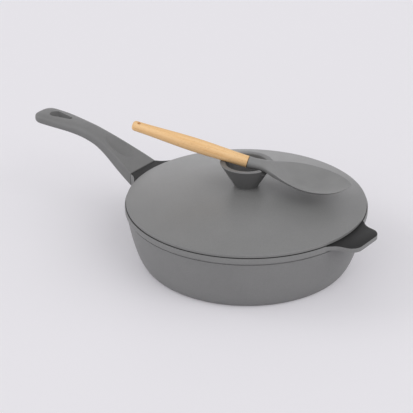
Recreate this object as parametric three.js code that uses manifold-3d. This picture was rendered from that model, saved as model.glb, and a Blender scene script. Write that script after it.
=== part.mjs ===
// Saute pan with a domed lid, a cup-shaped lid knob and the spoon that rests in the knob.
// Millimetres, +Z up. The origin is the centre of the base, on the surface that the pan stands on.
// The long handle points along -X and the short helper handle along +X.

import * as THREE from "three";
import { mergeVertices } from "three/addons/utils/BufferGeometryUtils.js";
import Module from "manifold-3d";

const wasm = await Module();
wasm.setup();

// Clearances
const SEAT_GAP = 0.3; // between a piece and the seat or pocket that holds it
const SCREW_CLEARANCE = 0.3; // radial, between a screw's shank and what it passes through

// Pan body
const RIM_RADIUS = 140;
const PAN_HEIGHT = 71.4;
const BASE_RADIUS = 115;
const WALL = 4;
const FLOOR = 5.5;
const BAND_HEIGHT = 7.8; // thicker band below the rim
const BAND_STEP = 1.8; // how far the band stands proud of the wall
const RIM_ROUND = 1.2;
const HEEL_PULL = 10; // length of the wall curve's handle along the base
const WALL_PULL = 25; // length of the wall curve's handle down from the band
const WALL_LEAN = 8.5; // degrees from upright, at the top of the wall

// Induction disc in the base
const DISC_MARGIN = 18; // from the edge of the base's flat
const DISC_THICKNESS = 1;

// Helper handle, cast on the rim
const EAR_REACH = 25.3; // beyond the rim
const EAR_ROOT_WIDTH = 60;
const EAR_TIP_WIDTH = 51;
const EAR_CORNER = 11;
const EAR_FILLET = 7; // hollow corner where the ear leaves the rim
const EAR_THICKNESS = 5;

// Boss and tongue that carry the long handle
const BOSS_REACH = 12; // beyond the rim
const BOSS_LIFT = 1.8; // above the rim
const BOSS_WIDTH = 48;
const BOSS_FLARE = 13; // how much wider the boss grows, each side, on its way to the rim
const BOSS_BEND = 0.4; // where the flare turns, as a share of the way from the rim to the boss's end
const BOSS_HEIGHT = 15.8;
const TONGUE_LENGTH = 13;
const TONGUE_WIDTH = 24;
const TONGUE_THICKNESS = 5;
const TONGUE_DROP = 1.7; // from the boss's top to the tongue's top

// Long handle
const HANDLE_LENGTH = 165;
const HANDLE_RISE = 35.9;
const HANDLE_ROOT_SLOPE = 25.7; // degrees
const HANDLE_ROOT_PULL = 69.5;
const HANDLE_TIP_SLOPE = -1.2; // degrees
const HANDLE_TIP_PULL = 99;
const HANDLE_STEP = 0.5; // how far the handle's root stands above the boss
const ROOT_WIDTH = 48;
const ROOT_DEPTH = 16.5;
const WAIST_WIDTH = 24.5;
const WAIST_DEPTH = 15;
const PALM_WIDTH = 33.5;
const PALM_DEPTH = 13;
const TIP_ROUND = 17;
const TIP_FULLNESS = 2.3; // 2 is a round tip, more is blunter
const TIP_THINNING = 0.45; // share of the depth lost at the very tip
const WAIST_AT = 0.5; // places along the handle's line, as shares of it
const WAIST_CURVE = 1.5; // 1 tapers straight from the root to the waist, more hollows the taper
const PALM_FROM = 0.62;
const PALM_TO = 0.9;
const GRIP_SQUARENESS = 2.7; // 2 is an ellipse, more is squarer
const ROOT_SQUARENESS = 14; // added at the root
const ROOT_FADE = 0.16; // share of the line over which the square root fades
const SLOT_LENGTH = 34;
const SLOT_WIDTH = 15; // at the end near the tip
const SLOT_NECK = 6; // at the end near the pan
const SLOT_INSET = 20; // from the handle's tip to the slot's outer end
const THUMB_LENGTH = 60;
const THUMB_WIDTH = 28;
const THUMB_DEPTH = 1.6;
const THUMB_AT = 41; // from the handle's root to the dish's middle

// Handle fastening
const HANDLE_SCREW_AT = 6; // from the handle's root
const HANDLE_SCREW_RADIUS = 2;
const HANDLE_HEAD_RADIUS = 3.8;
const HANDLE_HEAD_HEIGHT = 1.8;
const HANDLE_WASHER_THICKNESS = 0.8;
const HANDLE_CLAMP_WALL = 1.8; // handle material between the washer and the tongue
const HANDLE_INSERT_WALL = 1.4;

// Lid
const LID_INSET = 1.4; // from the rim's outer edge to the lid's edge
const LIP_GAP = 1.1; // shadow gap between the rim and the lid's lip
const LIP_HEIGHT = 2.9;
const LIP_ROUND = 0.9;
const LID_THICKNESS = 2.4;
const LID_RISE = 17.2;
const LAND_INSET = 3.6; // from the rim's outer edge to the lid's seating land
const SKIRT_DEPTH = 7;
const SKIRT_WALL = 2;
const SKIRT_CLEARANCE = 1.4;

// Knob
const KNOB_SEAT_MARGIN = 1.5; // flat of the lid around the knob's foot
const GASKET_THICKNESS = 0.8;
const GASKET_INSET = 1; // from the edge of the knob's foot
const KNOB_FOOT_RADIUS = 14;
const KNOB_FOOT_HEIGHT = 1;
const KNOB_RIM_RADIUS = 30.5;
const KNOB_HEIGHT = 28.6;
const KNOB_RIM_WIDTH = 6;
const KNOB_ROUND = 0.8;
const CUP_DEPTH = 17;
const CUP_FLOOR_RADIUS = 9;
const NOTCH_MARGIN = 0.8; // between the spoon's shoulder and the notch's close side
const NOTCH_ROUND = 4; // hollow corner of the close side
const NOTCH_OPENING = 47; // degrees between the spoon's axis and the notch's open side
const NOTCH_OPEN_ROUND = 11; // hollow corner of the open side
const SEAT_DEPTH = 0.5; // hollow in the opposite rim for the spoon's wooden handle

// Knob fastening
const KNOB_SCREW_RADIUS = 2.5;
const KNOB_SCREW_GRIP = 7; // length held in the knob
const KNOB_HEAD_RADIUS = 5;
const KNOB_HEAD_HEIGHT = 2.8;
const KNOB_WASHER_RADIUS = 7.5;
const KNOB_WASHER_THICKNESS = 1;
const KNOB_INSERT_WALL = 1.8;
const KNOB_INSERT_HEIGHT = 8;

// Recess for the driver in both screw heads, as shares of the head's height and the screw's radius
const DRIVE_DEPTH = 0.6;
const DRIVE_WIDTH = 0.8;

// Spoon
const SPOON_TURN = 23; // degrees from +X, seen from above
const SPOON_TILT = 13.2; // degrees, handle up
const JOINT_REACH = 1.6; // from the knob's axis to the joint of wood and silicone
const WOOD_LENGTH = 139.6;
const WOOD_END_RADIUS = 6;
const WOOD_BELLY_RADIUS = 8.1;
const WOOD_JOINT_RADIUS = 6.9;
const WOOD_BELLY_AT = 61.6; // from the joint to the thickest place
const WOOD_END_FLAT = 0.45; // share of the end's radius that stays flat
const WOOD_END_ROUND = 3.6; // length of the rounded end
const WOOD_HOLE_RADIUS = 2;
const WOOD_HOLE_AT = 7; // from the handle's end
const NECK_LENGTH = 15;
const NECK_WIDTH = 14;
const NECK_THICKNESS = 12.8;
const SHOULDER_LENGTH = 58.4; // from the neck to the bowl's widest place
const SHOULDER_SWELL = 1.4; // 1 swells at once, more keeps the neck slim for longer
const BOWL_REACH = 46.5; // from the widest place to the tip
const BOWL_WIDTH = 67.2;
const BOWL_DEPTH = 9;
const BOWL_WALL = 3.4;
const BOWL_EDGE_POWER = 24; // 2 is an edge thinned like a lens, more is a blunter one
const BOWL_TIP_POWER = 0.56; // 0.5 is an elliptic tip, more is more pointed
const DISH_START = 10; // from the neck's end to where the bowl begins to hollow
const WALL_FADE = 35; // length over which the neck thins into the bowl's wall
const RIM_LIFT = 2.1; // the shoulder's edge above the spoon's axis
const RIM_LIFT_LENGTH = 24;
const TIP_CURL = 7.2; // how far the tip curls up
const TIP_CURL_LENGTH = 64.5;
const CORE_RADIUS = 2.8;
const CORE_TANG = 26; // length held in the wood
const CORE_BLADE_WIDTH = 15;
const CORE_BLADE_THICKNESS = 1.2;
const CORE_BLADE_REACH = 32; // past the neck, into the bowl

// Smoothness
const ROUND_STEPS = 48; // around the pan and the lid
const KNOB_STEPS = 40;
const SECTION_STEPS = 24; // around the handle and the spoon's head
const SMALL_STEPS = 20; // around the small round pieces

// Finishes
function finish(color, roughness, metalness) {
  return new THREE.MeshStandardMaterial({ color, roughness, metalness });
}
const COATED_GREY = finish(0x7a7b7a, 0.5, 0.35);
const HANDLE_GREY = finish(0x757675, 0.6, 0.0);
const KNOB_GREY = finish(0x6e6f6e, 0.6, 0.0);
const STEEL = finish(0xb5b5b2, 0.35, 1.0);
const BRASS = finish(0xb59a56, 0.4, 1.0);
const BEECH = finish(0xe3b982, 0.55, 0.0);
const SILICONE = finish(0x848585, 0.7, 0.0);
const CORE_NYLON = finish(0x3c3d3e, 0.6, 0.0);

// Solids and meshes

// A closed geometry as a solid, for joining and cutting.
function solidOf(geometry) {
  const bare = geometry.index ? geometry.toNonIndexed() : geometry.clone();
  for (const name of Object.keys(bare.attributes)) {
    if (name !== "position") bare.deleteAttribute(name);
  }
  const welded = mergeVertices(bare, 1e-4);
  const corners = welded.index.array;
  const kept = [];
  for (let i = 0; i < corners.length; i += 3) {
    const [a, b, c] = [corners[i], corners[i + 1], corners[i + 2]];
    if (a !== b && b !== c && a !== c) kept.push(a, b, c);
  }
  const vertProperties = new Float32Array(welded.attributes.position.array);
  const triVerts = new Uint32Array(kept);
  return new wasm.Manifold(new wasm.Mesh({ numProp: 3, vertProperties, triVerts }));
}

// A solid as a named mesh.
function piece(name, solid, material) {
  const data = solid.getMesh();
  const geometry = new THREE.BufferGeometry();
  geometry.setAttribute("position", new THREE.BufferAttribute(data.vertProperties, 3));
  geometry.setIndex(new THREE.BufferAttribute(data.triVerts, 1));
  geometry.computeVertexNormals();
  const mesh = new THREE.Mesh(geometry, material);
  mesh.name = name;
  return mesh;
}

// A profile of [radius, height] points, listed upwards on the outside, turned about Z.
function turned(profile, steps) {
  const points = profile.map(([radius, height]) => new THREE.Vector2(radius, height));
  const geometry = new THREE.LatheGeometry(points, steps);
  geometry.rotateX(Math.PI / 2);
  return solidOf(geometry);
}

// A cylinder about Z, from one height to another.
function rod(radius, bottom, top, steps = SMALL_STEPS) {
  const profile = [
    [0, bottom],
    [radius, bottom],
    [radius, top],
    [0, top],
  ];
  return turned(profile, steps);
}

// A ring about Z, from one height to another.
function ring(inner, outer, bottom, top) {
  const profile = [
    [inner, bottom],
    [outer, bottom],
    [outer, top],
    [inner, top],
    [inner, bottom],
  ];
  return turned(profile, SMALL_STEPS);
}

// A screw that stands head down: its head's underside, the head's height and the shank's end.
function screw(shankRadius, headRadius, headBottom, headHeight, shankTop) {
  const head = rod(headRadius, headBottom, headBottom + headHeight);
  const shank = rod(shankRadius, headBottom + headHeight / 2, shankTop);
  const driveTop = headBottom + headHeight * DRIVE_DEPTH;
  const drive = rod(shankRadius * DRIVE_WIDTH, headBottom - headHeight, driveTop, 6);
  return head.add(shank).subtract(drive);
}

// A plan outline raised from one height to another.
function raised(shape, bottom, top, curveSegments = 6) {
  const depth = top - bottom;
  const geometry = new THREE.ExtrudeGeometry(shape, { depth, bevelEnabled: false, curveSegments });
  geometry.translate(0, 0, bottom);
  return solidOf(geometry);
}

// A skin over a row of rings with equal point counts, closed at both ends.
// The rings follow each other along +X and each runs from +Y to +Z.
function lofted(rings) {
  const count = rings[0].length;
  const positions = [];
  const indices = [];
  rings.forEach((points) => points.forEach((point) => positions.push(point.x, point.y, point.z)));
  for (let row = 0; row + 1 < rings.length; row += 1) {
    for (let k = 0; k < count; k += 1) {
      const a = row * count + k;
      const b = row * count + ((k + 1) % count);
      indices.push(a, b, a + count, b, b + count, a + count);
    }
  }
  const last = (rings.length - 1) * count;
  for (let k = 1; k + 1 < count; k += 1) {
    indices.push(0, k + 1, k, last, last + k, last + k + 1);
  }
  const geometry = new THREE.BufferGeometry();
  geometry.setAttribute("position", new THREE.Float32BufferAttribute(positions, 3));
  geometry.setIndex(indices);
  return solidOf(geometry);
}

function radians(degrees) {
  return (degrees * Math.PI) / 180;
}

function mix(from, to, share) {
  return from + (to - from) * share;
}

function clamped(value) {
  return Math.min(1, Math.max(0, value));
}

function eased(value) {
  const t = clamped(value);
  return t * t * (3 - 2 * t);
}

// One coordinate of a point on a rounded rectangle; the power sets how square its corners are.
function squarish(wave, power) {
  return Math.sign(wave) * Math.abs(wave) ** (2 / power);
}

// The other side of a right triangle, with a circle's radius as its long side.
function chord(radius, offset) {
  return Math.sqrt(radius ** 2 - offset ** 2);
}

// Pan body

const bandBottom = PAN_HEIGHT - BAND_HEIGHT;
const wallTopRadius = RIM_RADIUS - BAND_STEP;
const mouthRadius = wallTopRadius - WALL;
const bossTop = PAN_HEIGHT + BOSS_LIFT;
const bossEnd = RIM_RADIUS + BOSS_REACH;
const tongueTop = bossTop - TONGUE_DROP;
const tongueBottom = tongueTop - TONGUE_THICKNESS;
const discRadius = BASE_RADIUS - DISC_MARGIN;

// The curve of the wall from the base's edge up to the band, moved in for the inside.
function wallCurve(inset, bottom) {
  const lean = radians(WALL_LEAN);
  const start = new THREE.Vector2(BASE_RADIUS - inset, bottom);
  const end = new THREE.Vector2(wallTopRadius - inset, bandBottom);
  const low = new THREE.Vector2(start.x + HEEL_PULL, bottom);
  const high = new THREE.Vector2(end.x - WALL_PULL * Math.sin(lean), end.y - WALL_PULL * Math.cos(lean));
  const curve = new THREE.CubicBezierCurve(start, low, high, end);
  return curve.getPoints(8).map((point) => [point.x, point.y]);
}

// Plan of the helper handle, outwards along +X, starting in the pan's wall.
function earPlan() {
  const tip = RIM_RADIUS + EAR_REACH;
  const side = EAR_ROOT_WIDTH / 2;
  const end = EAR_TIP_WIDTH / 2;
  const root = side + EAR_FILLET;
  const rim = chord(RIM_RADIUS, root);
  const clear = chord(RIM_RADIUS, side) + EAR_FILLET;
  const shape = new THREE.Shape();
  shape.moveTo(chord(mouthRadius, root), -root);
  shape.lineTo(rim, -root);
  shape.quadraticCurveTo(chord(RIM_RADIUS, side), -side, clear, -side);
  shape.lineTo(tip - EAR_CORNER, -end);
  shape.quadraticCurveTo(tip, -end, tip, -end + EAR_CORNER);
  shape.lineTo(tip, end - EAR_CORNER);
  shape.quadraticCurveTo(tip, end, tip - EAR_CORNER, end);
  shape.lineTo(clear, side);
  shape.quadraticCurveTo(chord(RIM_RADIUS, side), side, rim, root);
  shape.lineTo(chord(mouthRadius, root), root);
  shape.closePath();
  return shape;
}

// Plan of the handle boss, outwards along +X; the pan turns it to -X.
function bossPlan() {
  const end = BOSS_WIDTH / 2;
  const root = end + BOSS_FLARE;
  const rim = chord(RIM_RADIUS, root);
  const bend = mix(rim, bossEnd, BOSS_BEND);
  const shape = new THREE.Shape();
  shape.moveTo(chord(mouthRadius, root), -root);
  shape.lineTo(rim, -root);
  shape.quadraticCurveTo(bend, -end, bossEnd, -end);
  shape.lineTo(bossEnd, end);
  shape.quadraticCurveTo(bend, end, rim, root);
  shape.lineTo(chord(mouthRadius, root), root);
  shape.closePath();
  return shape;
}

// Plan of the tongue, grown on each side by a clearance.
function tonguePlan(grow) {
  const half = TONGUE_WIDTH / 2 + grow;
  const end = bossEnd + TONGUE_LENGTH + grow;
  const shape = new THREE.Shape();
  shape.moveTo(RIM_RADIUS, -half);
  shape.lineTo(end, -half);
  shape.lineTo(end, half);
  shape.lineTo(RIM_RADIUS, half);
  shape.closePath();
  return shape;
}

function panBody() {
  const outside = turned(
    [
      [0, 0],
      ...wallCurve(0, 0),
      [RIM_RADIUS - RIM_ROUND, bandBottom],
      [RIM_RADIUS, bandBottom + RIM_ROUND],
      [RIM_RADIUS, PAN_HEIGHT - RIM_ROUND],
      [RIM_RADIUS - RIM_ROUND, PAN_HEIGHT],
      [0, PAN_HEIGHT],
    ],
    ROUND_STEPS,
  );
  const above = bossTop + WALL;
  const inside = [[0, FLOOR], ...wallCurve(WALL, FLOOR), [mouthRadius, above], [0, above]];
  const cavity = turned(inside, ROUND_STEPS);
  const lidRoom = rod(RIM_RADIUS + SEAT_GAP, PAN_HEIGHT, above, ROUND_STEPS);
  const ear = raised(earPlan(), PAN_HEIGHT - EAR_THICKNESS, PAN_HEIGHT);
  const boss = raised(bossPlan(), bossTop - BOSS_HEIGHT, bossTop).rotate([0, 0, 180]);
  const tongue = raised(tonguePlan(0), tongueBottom, tongueTop).rotate([0, 0, 180]);
  const discPocket = rod(discRadius + SEAT_GAP, -FLOOR, DISC_THICKNESS + SEAT_GAP, ROUND_STEPS);
  const insertHole = rod(handleInsertRadius + SEAT_GAP, 0, above).translate(handleScrewPlace);
  const grown = outside.add(ear).add(boss.subtract(lidRoom)).add(tongue);
  return grown.subtract(cavity).subtract(discPocket).subtract(insertHole);
}

function inductionDisc() {
  return rod(discRadius, 0, DISC_THICKNESS, ROUND_STEPS);
}

// Long handle

const handleRoot = bossEnd + SEAT_GAP;
const handleRootMiddle = bossTop + HANDLE_STEP - ROOT_DEPTH / 2;
const handleTip = handleRoot + HANDLE_LENGTH;
const handleScrewPlace = [-(handleRoot + HANDLE_SCREW_AT), 0, 0];
const handleInsertRadius = HANDLE_SCREW_RADIUS + SCREW_CLEARANCE + HANDLE_INSERT_WALL;
const counterboreTop = tongueBottom - SEAT_GAP - HANDLE_CLAMP_WALL;

// The middle line of the handle, in the plane of its length (x, outwards) and height (y).
const handleLine = new THREE.CubicBezierCurve(
  new THREE.Vector2(handleRoot, handleRootMiddle),
  new THREE.Vector2(
    handleRoot + HANDLE_ROOT_PULL * Math.cos(radians(HANDLE_ROOT_SLOPE)),
    handleRootMiddle + HANDLE_ROOT_PULL * Math.sin(radians(HANDLE_ROOT_SLOPE)),
  ),
  new THREE.Vector2(
    handleTip - HANDLE_TIP_PULL * Math.cos(radians(HANDLE_TIP_SLOPE)),
    handleRootMiddle + HANDLE_RISE - HANDLE_TIP_PULL * Math.sin(radians(HANDLE_TIP_SLOPE)),
  ),
  new THREE.Vector2(handleTip, handleRootMiddle + HANDLE_RISE),
);

// The share of the line at which the handle reaches a distance from its root, by halving.
function handleShare(distance) {
  let low = 0;
  let high = 1;
  for (let turn = 0; turn < 40; turn += 1) {
    const middle = (low + high) / 2;
    if (handleLine.getPoint(middle).x < handleRoot + distance) low = middle;
    else high = middle;
  }
  return low;
}

// Width and depth of the handle at a share of its line: wide root, slim waist, broad palm, round tip.
function handleSection(share) {
  const point = handleLine.getPoint(share);
  const rootShare = Math.max(0, 1 - share / WAIST_AT) ** WAIST_CURVE;
  const palmShare = eased((share - PALM_FROM) / (PALM_TO - PALM_FROM));
  const tipShare = clamped((point.x - (handleTip - TIP_ROUND)) / TIP_ROUND);
  const bodyWidth = mix(mix(WAIST_WIDTH, ROOT_WIDTH, rootShare), PALM_WIDTH, palmShare);
  const bodyDepth = mix(mix(WAIST_DEPTH, ROOT_DEPTH, rootShare), PALM_DEPTH, palmShare);
  return {
    point,
    width: bodyWidth * Math.sqrt(1 - tipShare ** TIP_FULLNESS),
    depth: bodyDepth * (1 - TIP_THINNING * tipShare ** 2),
    power: GRIP_SQUARENESS + ROOT_SQUARENESS * Math.exp(-share / ROOT_FADE),
  };
}

// One ring of the handle, square to its line apart from the upright root.
function handleRing(share) {
  const { point, width, depth, power } = handleSection(share);
  const along = handleLine.getTangent(share);
  const upright = 1 - clamped(share / ROOT_FADE);
  const up = new THREE.Vector2(-along.y, along.x).lerp(new THREE.Vector2(0, 1), upright).normalize();
  const points = [];
  for (let k = 0; k < SECTION_STEPS; k += 1) {
    const angle = ((k + 0.5) / SECTION_STEPS) * 2 * Math.PI;
    const across = (width / 2) * squarish(Math.cos(angle), power);
    const height = (depth / 2) * squarish(Math.sin(angle), power);
    points.push(new THREE.Vector3(point.x + up.x * height, across, point.y + up.y * height));
  }
  return points;
}

// Plan of the hanging slot: a round end near the tip and a narrower one near the pan.
function slotPlan() {
  const wide = SLOT_WIDTH / 2;
  const narrow = SLOT_NECK / 2;
  const outer = handleTip - SLOT_INSET - wide;
  const inner = handleTip - SLOT_INSET - SLOT_LENGTH + narrow;
  const shape = new THREE.Shape();
  shape.absarc(outer, 0, wide, -Math.PI / 2, Math.PI / 2, false);
  shape.absarc(inner, 0, narrow, Math.PI / 2, (3 * Math.PI) / 2, false);
  shape.closePath();
  return shape;
}

// The shallow hollow for the thumb: a flattened ball laid on the handle's top.
function thumbDish() {
  const share = handleShare(THUMB_AT);
  const { point, depth } = handleSection(share);
  const along = handleLine.getTangent(share);
  const up = new THREE.Vector2(-along.y, along.x);
  const lift = THUMB_DEPTH * 2;
  const height = depth / 2 + lift;
  const ball = new THREE.SphereGeometry(1, SECTION_STEPS, SECTION_STEPS / 2);
  ball.rotateX(Math.PI / 2);
  ball.scale(THUMB_LENGTH / 2, THUMB_WIDTH / 2, lift + THUMB_DEPTH);
  ball.rotateY(-Math.atan2(along.y, along.x));
  ball.translate(point.x + up.x * height, 0, point.y + up.y * height);
  return solidOf(ball);
}

// The handle is shaped outwards along +X and then turned to -X.
function handleGrip() {
  const shares = [];
  const bodySteps = 14;
  const roundStart = handleShare(HANDLE_LENGTH - TIP_ROUND);
  for (let k = 0; k < bodySteps; k += 1) {
    shares.push(roundStart * (k / bodySteps) ** 1.2);
  }
  for (const turn of [0, 20, 40, 60, 77]) {
    shares.push(mix(roundStart, 1, Math.sin(radians(turn))));
  }
  const low = tongueBottom - ROOT_DEPTH;
  const high = handleRootMiddle + HANDLE_RISE + ROOT_DEPTH;
  const slot = raised(slotPlan(), low, high, 10);
  const socket = raised(tonguePlan(SEAT_GAP), tongueBottom - SEAT_GAP, tongueTop + SEAT_GAP);
  const body = lofted(shares.map(handleRing)).subtract(slot).subtract(thumbDish()).subtract(socket);
  const counterbore = rod(HANDLE_HEAD_RADIUS + SEAT_GAP, low, counterboreTop).translate(handleScrewPlace);
  const screwHole = rod(HANDLE_SCREW_RADIUS + SCREW_CLEARANCE, low, tongueBottom).translate(handleScrewPlace);
  return body.rotate([0, 0, 180]).subtract(counterbore).subtract(screwHole);
}

// Handle fastening

const handleWasherBottom = counterboreTop - SEAT_GAP - HANDLE_WASHER_THICKNESS;
const handleHeadBottom = handleWasherBottom - SEAT_GAP - HANDLE_HEAD_HEIGHT;

function handleScrew() {
  const [shank, head] = [HANDLE_SCREW_RADIUS, HANDLE_HEAD_RADIUS];
  return screw(shank, head, handleHeadBottom, HANDLE_HEAD_HEIGHT, tongueTop).translate(handleScrewPlace);
}

function handleLockWasher() {
  const inner = HANDLE_SCREW_RADIUS + SCREW_CLEARANCE;
  const top = handleWasherBottom + HANDLE_WASHER_THICKNESS;
  return ring(inner, HANDLE_HEAD_RADIUS, handleWasherBottom, top).translate(handleScrewPlace);
}

function handleThreadedInsert() {
  const inner = HANDLE_SCREW_RADIUS + SCREW_CLEARANCE;
  return ring(inner, handleInsertRadius, tongueBottom, tongueTop).translate(handleScrewPlace);
}

// Lid

const lidRadius = RIM_RADIUS - LID_INSET;
const lipBottom = PAN_HEIGHT + LIP_GAP;
const lipTop = lipBottom + LIP_HEIGHT;
const landBottom = PAN_HEIGHT + SEAT_GAP;
const landRadius = RIM_RADIUS - LAND_INSET;
const skirtRadius = mouthRadius - SKIRT_CLEARANCE;
const seatRadius = KNOB_FOOT_RADIUS + KNOB_SEAT_MARGIN;
const knobHole = KNOB_SCREW_RADIUS + SCREW_CLEARANCE;

// Height of the dome's outside at a radius.
function domeHeight(radius) {
  return lipTop + LID_RISE * (1 - (radius / lidRadius) ** 2);
}

const knobSeat = domeHeight(seatRadius);
const lidUnderside = knobSeat - LID_THICKNESS;

function lidShell() {
  const steps = 6;
  const domeEdge = lidRadius - LIP_ROUND;
  const skirtInside = skirtRadius - SKIRT_WALL;
  const outside = [];
  const inside = [];
  for (let k = 0; k <= steps; k += 1) {
    const outer = mix(seatRadius, domeEdge, k / steps);
    const inner = mix(seatRadius, skirtInside, k / steps);
    outside.push([outer, domeHeight(outer)]);
    inside.push([inner, domeHeight(inner) - LID_THICKNESS]);
  }
  const profile = [
    [knobHole, lidUnderside],
    ...inside,
    [skirtInside, PAN_HEIGHT - SKIRT_DEPTH],
    [skirtRadius, PAN_HEIGHT - SKIRT_DEPTH],
    [skirtRadius, landBottom],
    [landRadius, landBottom],
    [landRadius, lipBottom],
    [lidRadius - LIP_ROUND, lipBottom],
    [lidRadius, lipBottom + LIP_ROUND],
    [lidRadius, lipTop - LIP_ROUND / 2],
    ...outside.reverse(),
    [knobHole, knobSeat],
    [knobHole, lidUnderside],
  ];
  return turned(profile, ROUND_STEPS);
}

// Knob

const knobBottom = knobSeat + GASKET_THICKNESS;
const knobTop = knobBottom + KNOB_HEIGHT;
const cupFloor = knobTop - CUP_DEPTH;
const cupRadius = KNOB_RIM_RADIUS - KNOB_RIM_WIDTH;
const knobInsertRadius = knobHole + KNOB_INSERT_WALL;

// The spoon's axis crosses the knob's axis at this height, with its wooden handle in the shallow seat.
const tilt = radians(SPOON_TILT);
const woodSeatRadius = (cupRadius + KNOB_RIM_RADIUS) / 2;
const woodSeatHalf = woodRadius(woodSeatRadius / Math.cos(tilt) + JOINT_REACH) / Math.cos(tilt);
const spoonHeight = knobTop - SEAT_DEPTH + SEAT_GAP + woodSeatHalf - woodSeatRadius * Math.tan(tilt);

// Place of the joint of wood and silicone, where the spoon's own frame begins.
const turn = radians(SPOON_TURN);
const spoonPlace = [
  JOINT_REACH * Math.cos(tilt) * Math.cos(turn),
  JOINT_REACH * Math.cos(tilt) * Math.sin(turn),
  spoonHeight - JOINT_REACH * Math.sin(tilt),
];

// Turns a solid from the spoon's own frame (X along its axis to the bowl) to its place on the knob.
function laidOnKnob(solid) {
  return solid.rotate([0, SPOON_TILT, SPOON_TURN]).translate(spoonPlace);
}

// Inside of the cup, from below the rim down to the flat of its floor.
function cupCurve() {
  const start = new THREE.Vector2(cupRadius, knobTop - KNOB_ROUND);
  const low = new THREE.Vector2((cupRadius + CUP_FLOOR_RADIUS) / 2, cupFloor);
  const end = new THREE.Vector2(CUP_FLOOR_RADIUS, cupFloor);
  const curve = new THREE.QuadraticBezierCurve(start, low, end);
  return curve.getPoints(6).map((point) => [point.x, point.y]);
}

// One section of the channel in the knob's rim, open upwards: its close side follows the spoon's head.
function channelRing(distance) {
  const close = headHalfWidth(distance) + NOTCH_MARGIN;
  const open = distance * Math.tan(radians(NOTCH_OPENING));
  const floor = headRise(distance) - bowlSag(distance) - headThickness(distance) / 2 - SEAT_GAP;
  const top = CUP_DEPTH * 2;
  const cornerAt = (side, half, round) =>
    [0, 22.5, 45, 67.5, 90].map((turn) => {
      const across = half - round * (1 - Math.cos(radians(turn)));
      const height = floor + round * (1 - Math.sin(radians(turn)));
      return new THREE.Vector3(distance, side * across, height);
    });
  return [
    new THREE.Vector3(distance, -open, top),
    ...cornerAt(-1, open, NOTCH_OPEN_ROUND),
    ...cornerAt(1, close, NOTCH_ROUND).reverse(),
    new THREE.Vector3(distance, close, top),
  ];
}

// Channel for the spoon's neck and shoulder, cut through one side of the knob's rim.
function neckChannel() {
  const rings = [];
  const steps = 6;
  for (let k = 0; k <= steps; k += 1) {
    rings.push(channelRing(mix(NECK_LENGTH / 2, KNOB_RIM_RADIUS + NECK_LENGTH, k / steps)));
  }
  return laidOnKnob(lofted(rings));
}

function lidKnob() {
  const body = turned(
    [
      [0, knobBottom],
      [KNOB_FOOT_RADIUS, knobBottom],
      [KNOB_FOOT_RADIUS, knobBottom + KNOB_FOOT_HEIGHT],
      [KNOB_RIM_RADIUS, knobTop - KNOB_ROUND],
      [KNOB_RIM_RADIUS - KNOB_ROUND, knobTop],
      [cupRadius + KNOB_ROUND, knobTop],
      ...cupCurve(),
      [0, cupFloor],
    ],
    KNOB_STEPS,
  );
  const insertPocket = rod(knobInsertRadius + SEAT_GAP, knobSeat, knobBottom + KNOB_INSERT_HEIGHT + SEAT_GAP);
  const woodSeat = laidOnKnob(woodBody(SEAT_GAP));
  return body.subtract(insertPocket).subtract(neckChannel()).subtract(woodSeat);
}

function knobGasket() {
  return ring(knobHole, KNOB_FOOT_RADIUS - GASKET_INSET, knobSeat, knobBottom);
}

// Knob fastening

const knobWasherBottom = lidUnderside - KNOB_WASHER_THICKNESS;
const knobHeadBottom = knobWasherBottom - KNOB_HEAD_HEIGHT;

function knobWasher() {
  return ring(knobHole, KNOB_WASHER_RADIUS, knobWasherBottom, lidUnderside);
}

function knobScrew() {
  const end = knobBottom + KNOB_SCREW_GRIP;
  return screw(KNOB_SCREW_RADIUS, KNOB_HEAD_RADIUS, knobHeadBottom, KNOB_HEAD_HEIGHT, end);
}

function knobThreadedInsert() {
  return ring(knobHole, knobInsertRadius, knobBottom, knobBottom + KNOB_INSERT_HEIGHT);
}

// Spoon, in its own frame: X along its axis, from the joint of wood and silicone at 0 to the bowl

// Radius of the turned wood at a distance from the joint.
function woodRadius(distance) {
  const toBelly = distance / WOOD_BELLY_AT;
  if (toBelly < 1) return mix(WOOD_JOINT_RADIUS, WOOD_BELLY_RADIUS, eased(toBelly));
  const toEnd = (distance - WOOD_BELLY_AT) / (WOOD_LENGTH - WOOD_BELLY_AT);
  return mix(WOOD_BELLY_RADIUS, WOOD_END_RADIUS, eased(toEnd));
}

// The turned wood, grown on all sides by a clearance.
function woodBody(grow) {
  const steps = 8;
  const straight = WOOD_LENGTH - WOOD_END_ROUND;
  const jointFace = SEAT_GAP - grow;
  const profile = [[0, jointFace]];
  for (let k = 0; k <= steps; k += 1) {
    const distance = mix(SEAT_GAP, straight, k / steps);
    profile.push([woodRadius(distance) + grow, k === 0 ? jointFace : distance]);
  }
  for (const turn of [35, 65, 90]) {
    const radius = woodRadius(straight) * mix(WOOD_END_FLAT, 1, Math.cos(radians(turn)));
    profile.push([radius + grow, straight + WOOD_END_ROUND * Math.sin(radians(turn)) + grow]);
  }
  profile.push([0, WOOD_LENGTH + grow]);
  return turned(profile, SMALL_STEPS).rotate([0, -90, 0]);
}

function spoonHandle() {
  const reach = WOOD_BELLY_RADIUS * 2;
  const hole = rod(WOOD_HOLE_RADIUS, -reach, reach, 12).translate([WOOD_HOLE_AT - WOOD_LENGTH, 0, 0]);
  return woodBody(0).subtract(hole).subtract(coreBody(SEAT_GAP));
}

const bowlMiddle = NECK_LENGTH + SHOULDER_LENGTH;
const headTip = bowlMiddle + BOWL_REACH;

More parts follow.
